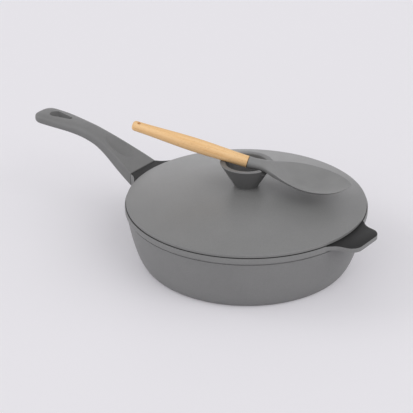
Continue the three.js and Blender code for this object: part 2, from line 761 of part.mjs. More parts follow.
// Half the head's width at a distance from the joint: the neck swells into the bowl, which closes in a tip.
function headHalfWidth(distance) {
  const along = distance - bowlMiddle;
  if (along > 0) return (BOWL_WIDTH / 2) * Math.max(0, 1 - (along / BOWL_REACH) ** 2) ** BOWL_TIP_POWER;
  const neck = mix(WOOD_JOINT_RADIUS, NECK_WIDTH / 2, eased((2 * distance) / NECK_LENGTH));
  const swell = 1 - clamped(-along / SHOULDER_LENGTH) ** 2;
  return mix(neck, BOWL_WIDTH / 2, swell ** SHOULDER_SWELL);
}

// Height of the head's rim line above the spoon's axis: lifted along the neck, curled up at the tip.
function headRise(distance) {
  const level = RIM_LIFT * eased(distance / RIM_LIFT_LENGTH);
  const curl = clamped(1 - (headTip - distance) / TIP_CURL_LENGTH);
  return level + TIP_CURL * curl ** 2;
}

// How far the bowl's middle lies below its rim.
function bowlSag(distance) {
  const along = distance - bowlMiddle;
  const place = along / (along > 0 ? BOWL_REACH : SHOULDER_LENGTH - DISH_START);
  return BOWL_DEPTH * Math.max(0, 1 - place ** 2);
}

// Thickness of the head: a stout neck that thins into the bowl's wall.
function headThickness(distance) {
  const neck = mix(WOOD_JOINT_RADIUS * 2, NECK_THICKNESS, eased((2 * distance) / NECK_LENGTH));
  return mix(neck, BOWL_WALL, eased((distance - NECK_LENGTH - DISH_START) / WALL_FADE));
}

// A ring across the head: round at the neck, a dished wall in the bowl.
function headRing(distance) {
  const half = headHalfWidth(distance);
  const power = mix(2, BOWL_EDGE_POWER, eased((distance - NECK_LENGTH) / RIM_LIFT_LENGTH));
  const points = [];
  for (let k = 0; k < SECTION_STEPS; k += 1) {
    const angle = (k / SECTION_STEPS) * 2 * Math.PI;
    const fullness = Math.sqrt(1 - Math.abs(Math.cos(angle)) ** power);
    const wall = (headThickness(distance) / 2) * fullness * Math.sign(Math.sin(angle));
    const middle = headRise(distance) - bowlSag(distance) * Math.sin(angle) ** 2;
    points.push(new THREE.Vector3(distance, half * Math.cos(angle), middle + wall));
  }
  return points;
}

function spoonHead() {
  const stations = [];
  const neckSteps = 3;
  for (let k = 0; k < neckSteps; k += 1) stations.push(mix(SEAT_GAP, NECK_LENGTH, k / neckSteps));
  const shoulderSteps = 9;
  for (let k = 0; k < shoulderSteps; k += 1) stations.push(mix(NECK_LENGTH, bowlMiddle, k / shoulderSteps));
  const bowlSteps = 8;
  const lastTurn = 86;
  for (let k = 0; k <= bowlSteps; k += 1) {
    stations.push(bowlMiddle + BOWL_REACH * Math.sin(radians((lastTurn * k) / bowlSteps)));
  }
  return lofted(stations.map(headRing)).subtract(coreBody(SEAT_GAP));
}

// Stiff core: a round tang glued into the wood that flattens into a blade inside the bowl's root.
function coreBody(grow) {
  const flatStart = NECK_LENGTH / 2;
  const bladeEnd = NECK_LENGTH + CORE_BLADE_REACH;
  const steps = 6;
  const stations = [-CORE_TANG - grow, 0];
  for (let k = 0; k < steps; k += 1) stations.push(mix(flatStart, bladeEnd, k / steps));
  stations.push(bladeEnd + grow);
  const rings = stations.map((distance) => {
    const flat = eased((distance - flatStart) / (bladeEnd - flatStart));
    const halfWidth = mix(CORE_RADIUS, CORE_BLADE_WIDTH / 2, flat) + grow;
    const halfThickness = mix(CORE_RADIUS, CORE_BLADE_THICKNESS / 2, flat) + grow;
    const middle = headRise(distance) - bowlSag(distance);
    const points = [];
    for (let k = 0; k < SMALL_STEPS; k += 1) {
      const angle = (k / SMALL_STEPS) * 2 * Math.PI;
      const height = middle + halfThickness * Math.sin(angle);
      points.push(new THREE.Vector3(distance, halfWidth * Math.cos(angle), height));
    }
    return points;
  });
  return lofted(rings);
}

// Assembly

const pan = new THREE.Group();
pan.add(piece("pan_body", panBody(), COATED_GREY));
pan.add(piece("induction_disc", inductionDisc(), STEEL));
pan.add(piece("handle_grip", handleGrip(), HANDLE_GREY));
pan.add(piece("handle_screw", handleScrew(), STEEL));
pan.add(piece("handle_lock_washer", handleLockWasher(), STEEL));
pan.add(piece("handle_threaded_insert", handleThreadedInsert(), STEEL));

const lid = new THREE.Group();
lid.add(piece("lid_shell", lidShell(), COATED_GREY));
lid.add(piece("lid_knob", lidKnob(), KNOB_GREY));
lid.add(piece("knob_gasket", knobGasket(), SILICONE));
lid.add(piece("knob_screw", knobScrew(), STEEL));
lid.add(piece("knob_washer", knobWasher(), STEEL));
lid.add(piece("knob_threaded_insert", knobThreadedInsert(), BRASS));

// The spoon lies across the knob, tilted about Y and then turned about Z.
const spoon = new THREE.Group();
spoon.rotation.order = "ZYX";
spoon.rotation.set(0, tilt, turn);
spoon.position.set(...spoonPlace);
spoon.add(piece("spoon_handle", spoonHandle(), BEECH));
spoon.add(piece("spoon_head", spoonHead(), SILICONE));
spoon.add(piece("spoon_core", coreBody(0), CORE_NYLON));

const model = new THREE.Group();
model.add(pan, lid, spoon);

export default model;
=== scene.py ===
import math

import bmesh
import bpy
from mathutils import Euler, Matrix, Vector


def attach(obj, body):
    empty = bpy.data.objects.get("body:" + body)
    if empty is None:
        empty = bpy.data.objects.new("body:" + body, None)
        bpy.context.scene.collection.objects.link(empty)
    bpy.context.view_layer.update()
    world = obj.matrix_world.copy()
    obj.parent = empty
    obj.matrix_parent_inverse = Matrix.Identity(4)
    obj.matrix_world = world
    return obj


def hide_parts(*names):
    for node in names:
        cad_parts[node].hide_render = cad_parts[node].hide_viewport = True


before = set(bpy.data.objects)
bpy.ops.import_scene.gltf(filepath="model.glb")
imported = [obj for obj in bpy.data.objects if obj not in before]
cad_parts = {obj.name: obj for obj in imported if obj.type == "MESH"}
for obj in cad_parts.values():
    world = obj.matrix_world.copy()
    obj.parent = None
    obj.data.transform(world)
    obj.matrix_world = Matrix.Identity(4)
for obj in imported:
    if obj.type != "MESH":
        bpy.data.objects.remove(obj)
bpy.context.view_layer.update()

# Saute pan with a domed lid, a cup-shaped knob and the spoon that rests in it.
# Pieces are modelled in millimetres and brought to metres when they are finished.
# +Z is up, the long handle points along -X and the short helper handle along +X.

METRE = 1000.0  # millimetres

# Pan
RIM_RADIUS = 140.0
PAN_HEIGHT = 71.4
BASE_RADIUS = 115.0
WALL = 4.0
FLOOR = 5.5
BAND_HEIGHT = 7.8
BAND_STEP = 1.8
BAND_CHAMFER = 1.7
BAND_GROOVE = 0.8  # height and depth of the groove under the band
BAND_BOTTOM = PAN_HEIGHT - BAND_HEIGHT
WALL_TOP_RADIUS = RIM_RADIUS - BAND_STEP
MOUTH_RADIUS = WALL_TOP_RADIUS - WALL
MOUTH_ROUND = 1.0
EDGE_ROUND = 0.45  # on the rim's outer edge, the helper handle and the boss
HEEL_PULL = 10.0
WALL_PULL = 25.0
WALL_LEAN = math.radians(8.5)
WALL_STEPS = 16
PAN_STEPS = 180  # faces around the pan, so one face takes two degrees
DISC_RADIUS = 97.0
DISC_THICKNESS = 1.0
DISC_ROUND = 0.25
DISC_GROOVES = (24.0, 30.0, 78.0, 84.0, 90.0)  # outer radii of the rings turned into the disc
DISC_GROOVE_WIDTH = 1.2
DISC_GROOVE_DEPTH = 0.25
SEAT_GAP = 0.3

# Helper handle and boss, both drawn out of the rim's band
EAR_TIP = 165.3
EAR_KNEE = 143.5
EAR_KNEE_WIDTH = 60.0
EAR_TIP_WIDTH = 51.0
EAR_CORNER = 11.0
EAR_KNEE_ROUND = 4.5
EAR_THICKNESS = 5.0
BOSS_END = 152.0
BOSS_LIFT = 1.8
BOSS_CLEARANCE = 0.35  # from the rim to the boss's raised top
BOSS_BOTTOM = 57.4
BOSS_WIDTH = 48.0
BOSS_FLARE = ((10.6, 30.6), (6.0, 26.6))  # distance before the boss's end, and half its width there
TONGUE_LENGTH = 13.0
TONGUE_WIDTH = 24.0
TONGUE_THICKNESS = 5.0
TONGUE_MIDDLE = 69.0
ROOT_HALF_ANGLE = math.radians(16)

# Long handle
HANDLE_ROOT = 152.3
HANDLE_TIP = 317.3
ROOT_MIDDLE = 65.45
HANDLE_RISE = 35.9
ROOT_SLOPE = math.radians(25.7)
ROOT_PULL = 69.5
TIP_SLOPE = math.radians(-1.2)
TIP_PULL = 99.0
ROOT_SIZE = (48.0, 16.5)
WAIST_SIZE = (24.5, 15.0)
PALM_SIZE = (33.5, 13.0)
WAIST_AT = 0.5  # this and the next four are shares of the handle's curve
PALM_START = 0.62
PALM_GROWTH = 0.28
ROOT_FADE = 0.16
SQUARE_TIP = (0.75, 0.2)  # where the tip gets squarer, and over which length
SQUARENESS = 2.7
ROOT_SQUARENESS = 14.0  # added at the root
TIP_SQUARENESS = 0.8  # added towards the tip
TIP_ROUND = 17.0
TIP_SHORT = 0.5  # from the last section to the end of the curve
HANDLE_STEPS = 46
TIP_STEPS = 14
HANDLE_EDGE_ROUND = 0.7
SLOT_ENDS = (266.3, 289.8)  # centres of the narrow and the wide end
SLOT_RADII = (3.0, 7.5)
SLOT_CUT = (80.0, 125.0)  # heights from well below the handle to well above it
THUMB_AT = 39.5
THUMB_SIZE = (64.0, 30.0)
THUMB_DEPTH = 5.0
HANDLE_SCREW_AT = 158.3
HANDLE_SCREW_RADIUS = 2.0
HANDLE_HEAD_RADIUS = 3.8
HANDLE_HEAD_BOTTOM = 61.2
HANDLE_HEAD_HEIGHT = 1.8
HANDLE_WASHER = (63.3, 64.1)
COUNTERBORE = (40.0, 64.4)  # heights from well below the handle to the bore's end
INSERT_SPAN = (66.5, 71.5)
INSERT_WALL = 1.4
SCREW_STEPS = 48  # faces around a screw

# Lid
LID_RADIUS = 138.6
LIP_BOTTOM = 71.85
LIP_TOP = 75.4
LIP_ROUNDS = (0.4, 0.7)  # on the lower and the upper edge
LAND_BOTTOM = 71.7
LAND_RADIUS = 136.4
LID_RISE = 17.2
LID_THICKNESS = 2.4
LID_STEPS = 30
SKIRT_BOTTOM = 64.4
SKIRT_RADIUS = 132.8
SKIRT_WALL = 2.0
SKIRT_ROUND = 0.6
KNOB_SEAT_RADIUS = 15.5
COATING_AND_GAP_SHADE_RADIUS = LID_RADIUS + 0.5  # the pan's dark coating ends just outside the lid's lip, and this thin dark ring paints the shade of the gap under the lip

# Knob
KNOB_HOLE = 2.8
KNOB_FOOT_RADIUS = 14.0
KNOB_FOOT_HEIGHT = 1.0
KNOB_FOOT_ROUND = 0.3
KNOB_RIM_RADIUS = 30.5
KNOB_RIM_WIDTH = 6.0
KNOB_RIM_CHAMFER = (0.3, 0.4)  # inwards and down
KNOB_RIM_ROUND = 0.9  # on the inner edge
KNOB_EDGE_ROUND = 0.5
KNOB_HEIGHT = 28.6
GASKET_THICKNESS = 0.8
GASKET_RADIUS = 13.0
CUP_DEPTH = 17.0
CUP_FLOOR_RADIUS = 9.0
NOTCH_MARGIN = 0.3  # on the close side
NOTCH_ROUND = 4.0
NOTCH_OPENING = math.radians(47)  # between the spoon's axis and the open side
NOTCH_OPEN_ROUND = 11.0
KNOB_SCREW_RADIUS = 2.5
KNOB_HEAD_RADIUS = 5.0
KNOB_HEAD_HEIGHT = 2.8
KNOB_WASHER_RADIUS = 7.5
KNOB_WASHER_THICKNESS = 1.0
KNOB_INSERT_RADIUS = 4.6
KNOB_INSERT_HEIGHT = 8.0
KNOB_SCREW_GRIP = 7.0

# Spoon, in its own frame: X along its axis, from the joint of wood and silicone to the bowl
SPOON_TURN = math.radians(23)
SPOON_TILT = math.radians(13.2)
SPOON_HEIGHT = 122.8  # where its axis crosses the knob's axis
JOINT_REACH = 1.6  # from the knob's axis to the joint
WOOD_LENGTH = 139.6
WOOD_END_RADIUS = 5.85
WOOD_BELLY_RADIUS = 8.1
WOOD_JOINT_RADIUS = 6.9
WOOD_BELLY_AT = 61.6
WOOD_END_ROUND = 3.6
WOOD_END_FLAT = 0.45  # flat part of the end, as a share of its radius
WOOD_HOLE_RADIUS = 2.0
WOOD_HOLE_AT = 7.0
WOOD_HOLE_TURN = math.radians(16)  # about the wood's axis, away from upright
SPOON_EDGE_ROUND = 0.35
COLLAR = ((0.0, 0.93), (0.15, 0.97), (0.6, 1.0))  # distance from the neck's end, and share of its size
NECK_LENGTH = 15.0
NECK_WIDTH = 14.0
NECK_THICKNESS = 12.8
SHOULDER_LENGTH = 58.4
SHOULDER_SWELL = 1.4  # power of the swelling, and more is slower to start
BOWL_REACH = 46.5
BOWL_WIDTH = 67.2
BOWL_DEPTH = 9.0
BOWL_WALL = 3.3
BOWL_TUCK = 0.9  # how far the underside's edge lies inside the rim, as a share of the edge's thickness
BOWL_ROUNDNESS = 0.56  # half of an ellipse has 0.5, and more is more pointed
TIP_ROUNDNESS = 0.74
TIP_THINNESS = 0.3  # the wall at the tip, as a share of the bowl's wall
TIP_THINNING = (0.3, 0.6)  # where the wall begins to thin, and over which length, as shares of the reach
DISH_START = 10.0
WALL_FADE = 35.0
RIM_LIFT = 2.1
RIM_LIFT_LENGTH = 24.0
TIP_CURL = 9.2
TIP_CURL_LENGTH = 64.5
TIP_CURL_POWER = 2.7

# Closeness of places
WELD = 0.002  # corners as close as this become one
TINY = 0.01  # places as close as this count as the same
NEAR = 0.1  # a corner as close as this counts as on a face
FLAT_ANGLE = math.radians(2)  # faces that meet in a smaller angle become one


# Small sums

def mix(start, end, share):
    return start + (end - start) * share


def spaced(start, end, steps):
    """Numbers from start to end in even steps."""
    return [mix(start, end, k / steps) for k in range(steps + 1)]


def eased(value):
    """A share held between 0 and 1, with a soft start and a soft end."""
    t = min(1.0, max(0.0, value))
    return t * t * (3.0 - 2.0 * t)


def curve_point(points, t):
    """A point of the cubic curve with these four control points."""
    a, b, c, d = (Vector(point) for point in points)
    s = 1.0 - t
    return a * s**3 + b * (3 * s * s * t) + c * (3 * s * t * t) + d * t**3


def squarish(wave, power):
    """One coordinate on a rounded rectangle: power 2 is an ellipse, more is squarer."""
    return math.copysign(abs(wave) ** (2.0 / power), wave)


def dome_height(radius):
    """Height of the lid's outside."""
    return LIP_TOP + LID_RISE * (1.0 - (radius / LID_RADIUS) ** 2)


KNOB_SEAT = dome_height(KNOB_SEAT_RADIUS)
LID_UNDERSIDE = KNOB_SEAT - LID_THICKNESS
KNOB_BOTTOM = KNOB_SEAT + GASKET_THICKNESS
KNOB_TOP = KNOB_BOTTOM + KNOB_HEIGHT
CUP_FLOOR = KNOB_TOP - CUP_DEPTH


# Work on one piece

def pick(piece):
    """Makes a piece the only selected one and the active one."""
    bpy.ops.object.select_all(action="DESELECT")
    piece.select_set(True)
    bpy.context.view_layer.objects.active = piece


def settle(piece):
    """Takes a piece's place, turn and size into its corners."""
    pick(piece)
    bpy.ops.object.transform_apply(location=True, rotation=True, scale=True)


def open_mesh(piece):
    pick(piece)
    bpy.ops.object.mode_set(mode="EDIT")


def open_new(name):
    """Names the piece that was just added and opens it."""
    piece = bpy.context.object
    piece.name = name
    open_mesh(piece)
    return piece


def close_mesh():
    bpy.ops.object.mode_set(mode="OBJECT")


def selecting(piece, kind):
    """An open piece's mesh with nothing selected, ready to select one kind of part."""
    bpy.ops.mesh.select_mode(type=kind)
    bpy.ops.mesh.select_all(action="DESELECT")
    return bmesh.from_edit_mesh(piece.data)


def select_faces(piece, test):
    """Selects the faces whose middle and normal pass a test."""
    mesh = selecting(piece, "FACE")
    for face in mesh.faces:
        if test(face.calc_center_median(), face.normal):
            face.select_set(True)
    bmesh.update_edit_mesh(piece.data)


def select_edges(piece, test):
    """Selects the edges whose two ends pass a test."""
    mesh = selecting(piece, "EDGE")
    for edge in mesh.edges:
        if test(edge.verts[0].co, edge.verts[1].co):
            edge.select_set(True)
    bmesh.update_edit_mesh(piece.data)


def select_points(piece, test):
    """Selects the corners whose place passes a test."""
    mesh = selecting(piece, "VERT")
    for point in mesh.verts:
        if test(point.co):
            point.select_set(True)
    mesh.select_flush(True)
    bmesh.update_edit_mesh(piece.data)


def extrude(step=(0.0, 0.0, 0.0)):
    bpy.ops.mesh.extrude_region_move(TRANSFORM_OT_translate={"value": step})


def scale_about(middle, factors):
    bpy.ops.transform.resize(value=factors, center_override=middle)


def weld():
    """Joins all corners that lie on each other."""
    bpy.ops.mesh.select_all(action="SELECT")
    bpy.ops.mesh.remove_doubles(threshold=WELD)


# Ways of making a piece

def drawn_profile(name, points, rounds):
    """A line of (radius, height) points, extruded from one corner; rounds maps a point to its cut-back."""
    bpy.ops.mesh.primitive_plane_add(size=1.0, location=(0.0, 0.0, 0.0))
    piece = open_new(name)
    bpy.ops.mesh.select_all(action="SELECT")
    bpy.ops.mesh.merge(type="CENTER")
    bpy.ops.mesh.select_all(action="SELECT")
    bpy.ops.transform.translate(value=(points[0][0], 0.0, points[0][1]))
    for (radius, height), (last_radius, last_height) in zip(points[1:], points[:-1]):
        step = (radius - last_radius, 0.0, height - last_height)
        bpy.ops.mesh.extrude_vertices_move(TRANSFORM_OT_translate={"value": step})
    for (radius, height), cut in rounds.items():
        corner = Vector((radius, 0.0, height))
        select_points(piece, lambda place: (place - corner).length < WELD / 2)
        bpy.ops.mesh.bevel(affect="VERTICES", offset=cut, segments=5)
    return piece


def turned(name, points, rounds=None, steps=96):
    """A profile turned about Z, closed and facing outwards."""
    piece = drawn_profile(name, points, rounds or {})
    bpy.ops.mesh.select_all(action="SELECT")
    bpy.ops.mesh.spin(steps=steps, angle=2.0 * math.pi, center=(0.0, 0.0, 0.0), axis=(0.0, 0.0, 1.0))
    weld()
    bpy.ops.mesh.normals_make_consistent(inside=False)
    close_mesh()
    return piece


def rod_profile(radius, bottom, top):
    return [(0.0, bottom), (radius, bottom), (radius, top), (0.0, top)]


def ring_profile(inner, outer, bottom, top):
    return [(inner, bottom), (outer, bottom), (outer, top), (inner, top), (inner, bottom)]


def drawn_out(name, rings):
    """A bar drawn out of a round plate: its end face is extruded and pressed to one ring after another."""
    bpy.ops.mesh.primitive_circle_add(vertices=len(rings[0]), fill_type="NGON", location=(0.0, 0.0, 0.0))
    piece = open_new(name)
    bpy.ops.mesh.select_mode(type="FACE")
    bpy.ops.mesh.select_all(action="SELECT")
    for count, ring in enumerate(rings):
        if count:
            extrude()
        mesh = bmesh.from_edit_mesh(piece.data)
        end = next(face for face in mesh.faces if face.select)
        for point, place in zip(end.verts, ring):
            point.co = place
        bmesh.update_edit_mesh(piece.data)
    weld()
    bpy.ops.mesh.normals_make_consistent(inside=False)
    close_mesh()
    return piece


def apply_modifier(piece, kind, **settings):
    pick(piece)
    modifier = piece.modifiers.new(kind.lower(), kind)
    for name, value in settings.items():
        setattr(modifier, name, value)
    bpy.ops.object.modifier_apply(modifier=modifier.name)


def cut(piece, cutter):
    """Cuts one piece out of another and removes the cutter."""
    apply_modifier(piece, "BOOLEAN", operation="DIFFERENCE", solver="EXACT", object=cutter)
    bpy.data.objects.remove(cutter)


def soften(piece, width, angle=math.radians(38)):
    """Rounds the edges that are sharper than an angle, and closes up slivers without area."""
    apply_modifier(
        piece,
        "BEVEL",
        width=width,
        segments=2,
        limit_method="ANGLE",
        angle_limit=angle,
        use_clamp_overlap=True,
        miter_outer="MITER_ARC",
    )
    open_mesh(piece)
    weld()
    bpy.ops.mesh.dissolve_degenerate(threshold=WELD / 2)
    close_mesh()


def finished(piece, body, node, materials, smooth_angle=math.radians(35)):
    """Brings a piece to metres, shades it, gives it its materials and lets it ride for its CAD node."""
    piece.location /= METRE
    piece.scale = (1.0 / METRE,) * 3
    settle(piece)
    bpy.ops.object.shade_smooth_by_angle(angle=smooth_angle)
    for material in materials:
        piece.data.materials.append(material)
    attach(piece, body)
    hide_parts(node)
    return piece


def laid_on_knob(piece):
    """Takes a piece from the spoon's own frame to its place on the knob."""
    turn = Matrix.Rotation(SPOON_TURN, 4, "Z") @ Matrix.Rotation(SPOON_TILT, 4, "Y")
    along = Matrix.Translation((JOINT_REACH, 0.0, 0.0))
    piece.matrix_world = Matrix.Translation((0.0, 0.0, SPOON_HEIGHT)) @ turn @ along
    settle(piece)
    return piece


# Materials

class Nodes:
    """A material's node tree, with short calls for the nodes that these finishes use."""

    def __init__(self, name):
        self.material = bpy.data.materials.new(name)
        self.material.use_nodes = True
        self.tree = self.material.node_tree
        self.shader = self.tree.nodes["Principled BSDF"]
        self.place = self.add("ShaderNodeTexCoord").outputs["Object"]

    def add(self, kind, values=None, **settings):
        """A new node with these settings and input values."""
        node = self.tree.nodes.new(kind)
        for name, value in settings.items():
            setattr(node, name, value)
        for name, value in (values or {}).items():
            node.inputs[name].default_value = value
        return node

    def link(self, output, node, socket):
        self.tree.links.new(output, node.inputs[socket])

    def turned_place(self, turn, stretch):
        """Object coordinates, turned back to a piece's own axes and then stretched."""
        back = self.add("ShaderNodeMapping", {"Rotation": turn}, vector_type="TEXTURE")
        self.link(self.place, back, "Vector")
        sized = self.add("ShaderNodeMapping", {"Scale": stretch}, vector_type="POINT")
        self.link(back.outputs["Vector"], sized, "Vector")
        return sized.outputs["Vector"]

    def noise(self, scale, detail=2.0, roughness=0.5, place=None):
        values = {"Scale": scale, "Detail": detail, "Roughness": roughness}
        node = self.add("ShaderNodeTexNoise", values)
        self.link(place or self.place, node, "Vector")
        return node.outputs["Fac"]

    def ramp(self, value, stops):
        """A colour ramp over a value; stops are (place, grey or colour)."""
        node = self.add("ShaderNodeValToRGB")
        while len(node.color_ramp.elements) < len(stops):
            node.color_ramp.elements.new(0.5)
        for element, (where, colour) in zip(node.color_ramp.elements, stops):
            tone = (colour,) * 3 if isinstance(colour, float) else colour
            element.position = where
            element.color = (*tone, 1.0)
        self.link(value, node, "Fac")
        return node.outputs["Color"]

    def range(self, value, low, high, from_low=0.0, from_high=1.0):
        values = {"From Min": from_low, "From Max": from_high, "To Min": low, "To Max": high}
        node = self.add("ShaderNodeMapRange", values)
        self.link(value, node, "Value")
        return node.outputs["Result"]

    def blend(self, share, first, second, way="MIX"):
        """Mixes two colours; each is an output or a plain colour, and so is the share."""
        node = self.add("ShaderNodeMix", data_type="RGBA", blend_type=way)
        sockets = {"Factor_Float": share, "A_Color": first, "B_Color": second}
        for identifier, value in sockets.items():
            socket = next(s for s in node.inputs if s.identifier == identifier)
            if isinstance(value, bpy.types.NodeSocket):
                self.tree.links.new(value, socket)
            elif identifier == "Factor_Float":
                socket.default_value = value
            else:
                socket.default_value = (*value, 1.0)
        return next(s for s in node.outputs if s.identifier == "Result_Color")

    def bump(self, height, strength, distance):
        node = self.add("ShaderNodeBump", {"Strength": strength, "Distance": distance})
        self.link(height, node, "Height")
        self.link(node.outputs["Normal"], self.shader, "Normal")

    def finish(self, colour, roughness, **sockets):
        """Completes the surface and returns the material."""
        self.link(colour, self.shader, "Base Color")
        self.link(roughness, self.shader, "Roughness")
        for name, value in sockets.items():
            self.shader.inputs[name.replace("_", " ")].default_value = value
        return self.material


def speckled_coating(name, dark, plain, light, roughness, gloss=0.5):
    """A sprayed coating: one even tone with fine darker and lighter specks and a faint grain."""
    nodes = Nodes(name)
    specks = nodes.noise(2400.0, detail=1.0)
    fine = nodes.ramp(specks, [(0.3, dark), (0.42, plain), (0.6, plain), (0.72, light)])
    cloud = nodes.noise(26.0, detail=3.0)
    tone = nodes.ramp(cloud, [(0.3, 0.95), (0.7, 1.0)])
    colour = nodes.blend(1.0, fine, tone, "MULTIPLY")
    grain = nodes.noise(1600.0, detail=2.0)
    nodes.bump(grain, 0.12, 0.0002)
    sheen = nodes.range(nodes.noise(90.0, detail=4.0), roughness - 0.05, roughness + 0.05)
    return nodes.finish(colour, sheen, Specular_IOR_Level=gloss)


def moulded_plastic(name, low, high, roughness):
    """Matte moulded plastic: soft tone changes, a very fine texture and edges rubbed a little lighter."""
    nodes = Nodes(name)
    cloud = nodes.noise(35.0, detail=4.0, roughness=0.6)
    colour = nodes.ramp(cloud, [(0.35, low), (0.68, high)])
    rub = nodes.add("ShaderNodeNewGeometry").outputs["Pointiness"]
    worn = nodes.range(rub, 0.0, 0.35, 0.53, 0.62)
    colour = nodes.blend(worn, colour, tuple(c * 1.25 for c in high))
    spark = nodes.noise(2600.0, detail=2.0)
    nodes.bump(spark, 0.1, 0.00015)
    sheen = nodes.range(nodes.noise(120.0, detail=3.0), roughness - 0.05, roughness + 0.06)
    return nodes.finish(colour, sheen)


def silicone(name):
    """Matte silicone: even grey, a dusting of pale lint-sized specks and a soft bloom."""
    nodes = Nodes(name)
    cloud = nodes.noise(48.0, detail=3.0)
    colour = nodes.ramp(cloud, [(0.35, (0.234, 0.234, 0.234)), (0.68, (0.258, 0.258, 0.257))])
    dust = nodes.range(nodes.noise(1900.0, detail=1.0), 0.0, 0.3, 0.7, 0.8)
    colour = nodes.blend(dust, colour, (0.38, 0.38, 0.38))
    nodes.bump(nodes.noise(900.0, detail=2.0), 0.06, 0.0002)
    sheen = nodes.range(nodes.noise(150.0, detail=3.0), 0.5, 0.62)
    return nodes.finish(colour, sheen)


def beech(name):
    """Oiled beech, turned along the grain: fine lines, short dark flecks and a slow change of tone."""
    nodes = Nodes(name)
    turn = Euler((0.0, SPOON_TILT, SPOON_TURN), "XYZ")
    along = nodes.turned_place(turn, (14.0, 330.0, 330.0))
    lines = nodes.noise(1.0, detail=5.0, roughness=0.62, place=along)
    colour = nodes.ramp(
        lines,
        [(0.3, (0.87, 0.54, 0.255)), (0.5, (0.95, 0.63, 0.33)), (0.7, (0.97, 0.67, 0.37))],
    )
    broad = nodes.noise(1.0, detail=2.0, place=nodes.turned_place(turn, (9.0, 60.0, 60.0)))
    tone = nodes.ramp(broad, [(0.3, (0.86, 0.82, 0.78)), (0.65, (1.0, 1.0, 1.0))])
    colour = nodes.blend(1.0, colour, tone, "MULTIPLY")
    flecks = nodes.noise(1.0, detail=1.0, place=nodes.turned_place(turn, (420.0, 2600.0, 2600.0)))
    dots = nodes.range(flecks, 0.0, 0.55, 0.64, 0.72)
    colour = nodes.blend(dots, colour, (0.36, 0.19, 0.08))
    nodes.bump(lines, 0.15, 0.0003)
    sheen = nodes.range(lines, 0.66, 0.54)
    return nodes.finish(colour, sheen, Specular_IOR_Level=0.05)


def turned_metal(name, low, high, roughness):
    """Metal with fine rings around Z from its turning or brushing."""
    nodes = Nodes(name)
    flat = nodes.turned_place((0.0, 0.0, 0.0), (1.0, 1.0, 0.0))
    radius = nodes.add("ShaderNodeVectorMath", operation="LENGTH")
    nodes.link(flat, radius, "Vector")
    rings = nodes.add("ShaderNodeTexNoise", {"Scale": 2500.0, "Detail": 3.0}, noise_dimensions="1D")
    nodes.link(radius.outputs["Value"], rings, "W")
    colour = nodes.ramp(rings.outputs["Fac"], [(0.3, low), (0.7, high)])
    nodes.bump(rings.outputs["Fac"], 0.15, 0.0001)
    sheen = nodes.range(rings.outputs["Fac"], roughness - 0.08, roughness + 0.08)
    return nodes.finish(colour, sheen, Metallic=1.0)


COATING = speckled_coating("grey_coating", (0.178,) * 3, (0.238,) * 3, (0.297,) * 3, 0.38, 0.32)
NON_STICK = speckled_coating("dark_non_stick", (0.018,) * 3, (0.026,) * 3, (0.044,) * 3, 0.5, 0.1)
HANDLE_PLASTIC = moulded_plastic("handle_plastic", (0.18,) * 3, (0.198,) * 3, 0.55)
# The knob's plastic is darkened to paint the shade on its cone, and its upward faces get a lighter copy as
# painted light.
KNOB_PLASTIC_PAINTED_SHADE = moulded_plastic("knob_plastic", (0.102,) * 3, (0.114,) * 3, 0.55)
KNOB_TOP_PAINTED_LIGHT = moulded_plastic("knob_top_painted_light", (0.172,) * 3, (0.19,) * 3, 0.5)
SILICONE = silicone("grey_silicone")
BEECH = beech("oiled_beech")
STEEL = turned_metal("turned_steel", (0.42, 0.42, 0.41), (0.62, 0.62, 0.6), 0.34)
BRASS = turned_metal("turned_brass", (0.44, 0.31, 0.11), (0.58, 0.43, 0.17), 0.36)
CORE_NYLON = moulded_plastic("core_nylon", (0.035,) * 3, (0.05,) * 3, 0.55)


# Pan body

def wall_points(inset, bottom, extra=None):
    """The wall's curve from the base's edge up to the band, moved in for the inside."""
    start = (BASE_RADIUS - inset, bottom)
    end = (WALL_TOP_RADIUS - inset, BAND_BOTTOM)
    low = (start[0] + HEEL_PULL, bottom)
    high = (end[0] - WALL_PULL * math.sin(WALL_LEAN), end[1] - WALL_PULL * math.cos(WALL_LEAN))
    places = [curve_point((start, low, high, end), k / WALL_STEPS) for k in range(WALL_STEPS + 1)]
    points = [(place.x, place.y) for place in places]
    if extra is None:
        return points
    # one more point at the height where the boss begins
    above = next(k for k, point in enumerate(points) if point[1] > extra)
    (r0, z0), (r1, z1) = points[above - 1], points[above]
    split = (mix(r0, r1, (extra - z0) / (z1 - z0)), extra)
    return points[:above] + [split] + points[above:]


def near_direction(place, direction):
    """Whether a place lies in the sector of the rim that the ear (1) or the boss (-1) grows from."""
    return abs(math.atan2(place.y, place.x * direction)) < ROOT_HALF_ANGLE


def draw_ear(pan):
    """The helper handle: the band's faces on the +X side, drawn out flat and tapered."""
    bottom = PAN_HEIGHT - EAR_THICKNESS
    middle = PAN_HEIGHT - EAR_THICKNESS / 2

    def band_side(place, normal):
        return near_direction(place, 1) and abs(normal.z) < 0.5 and place.z > bottom and normal.x > 0.5

    select_faces(pan, band_side)
    root_half = RIM_RADIUS * math.sin(ROOT_HALF_ANGLE)
    extrude()
    scale_about((EAR_KNEE, 0.0, middle), (0.0, EAR_KNEE_WIDTH / 2 / root_half, 1.0))
    extrude((EAR_TIP - EAR_KNEE, 0.0, 0.0))
    scale_about((EAR_TIP, 0.0, middle), (1.0, EAR_TIP_WIDTH / EAR_KNEE_WIDTH, 1.0))
    select_faces(pan, lambda place, normal: place.x > RIM_RADIUS + 0.5 and place.z > bottom - NEAR)
    bpy.ops.mesh.dissolve_limited(angle_limit=FLAT_ANGLE)

    def upright(a, b):
        return abs(a.x - b.x) < TINY and abs(a.y - b.y) < TINY

    select_edges(pan, lambda a, b: upright(a, b) and a.x > EAR_TIP - NEAR)
    bpy.ops.mesh.bevel(offset=EAR_CORNER, segments=8, affect="EDGES")
    select_edges(pan, lambda a, b: upright(a, b) and abs(a.x - EAR_KNEE) < NEAR)
    bpy.ops.mesh.bevel(offset=EAR_KNEE_ROUND, segments=5, affect="EDGES")


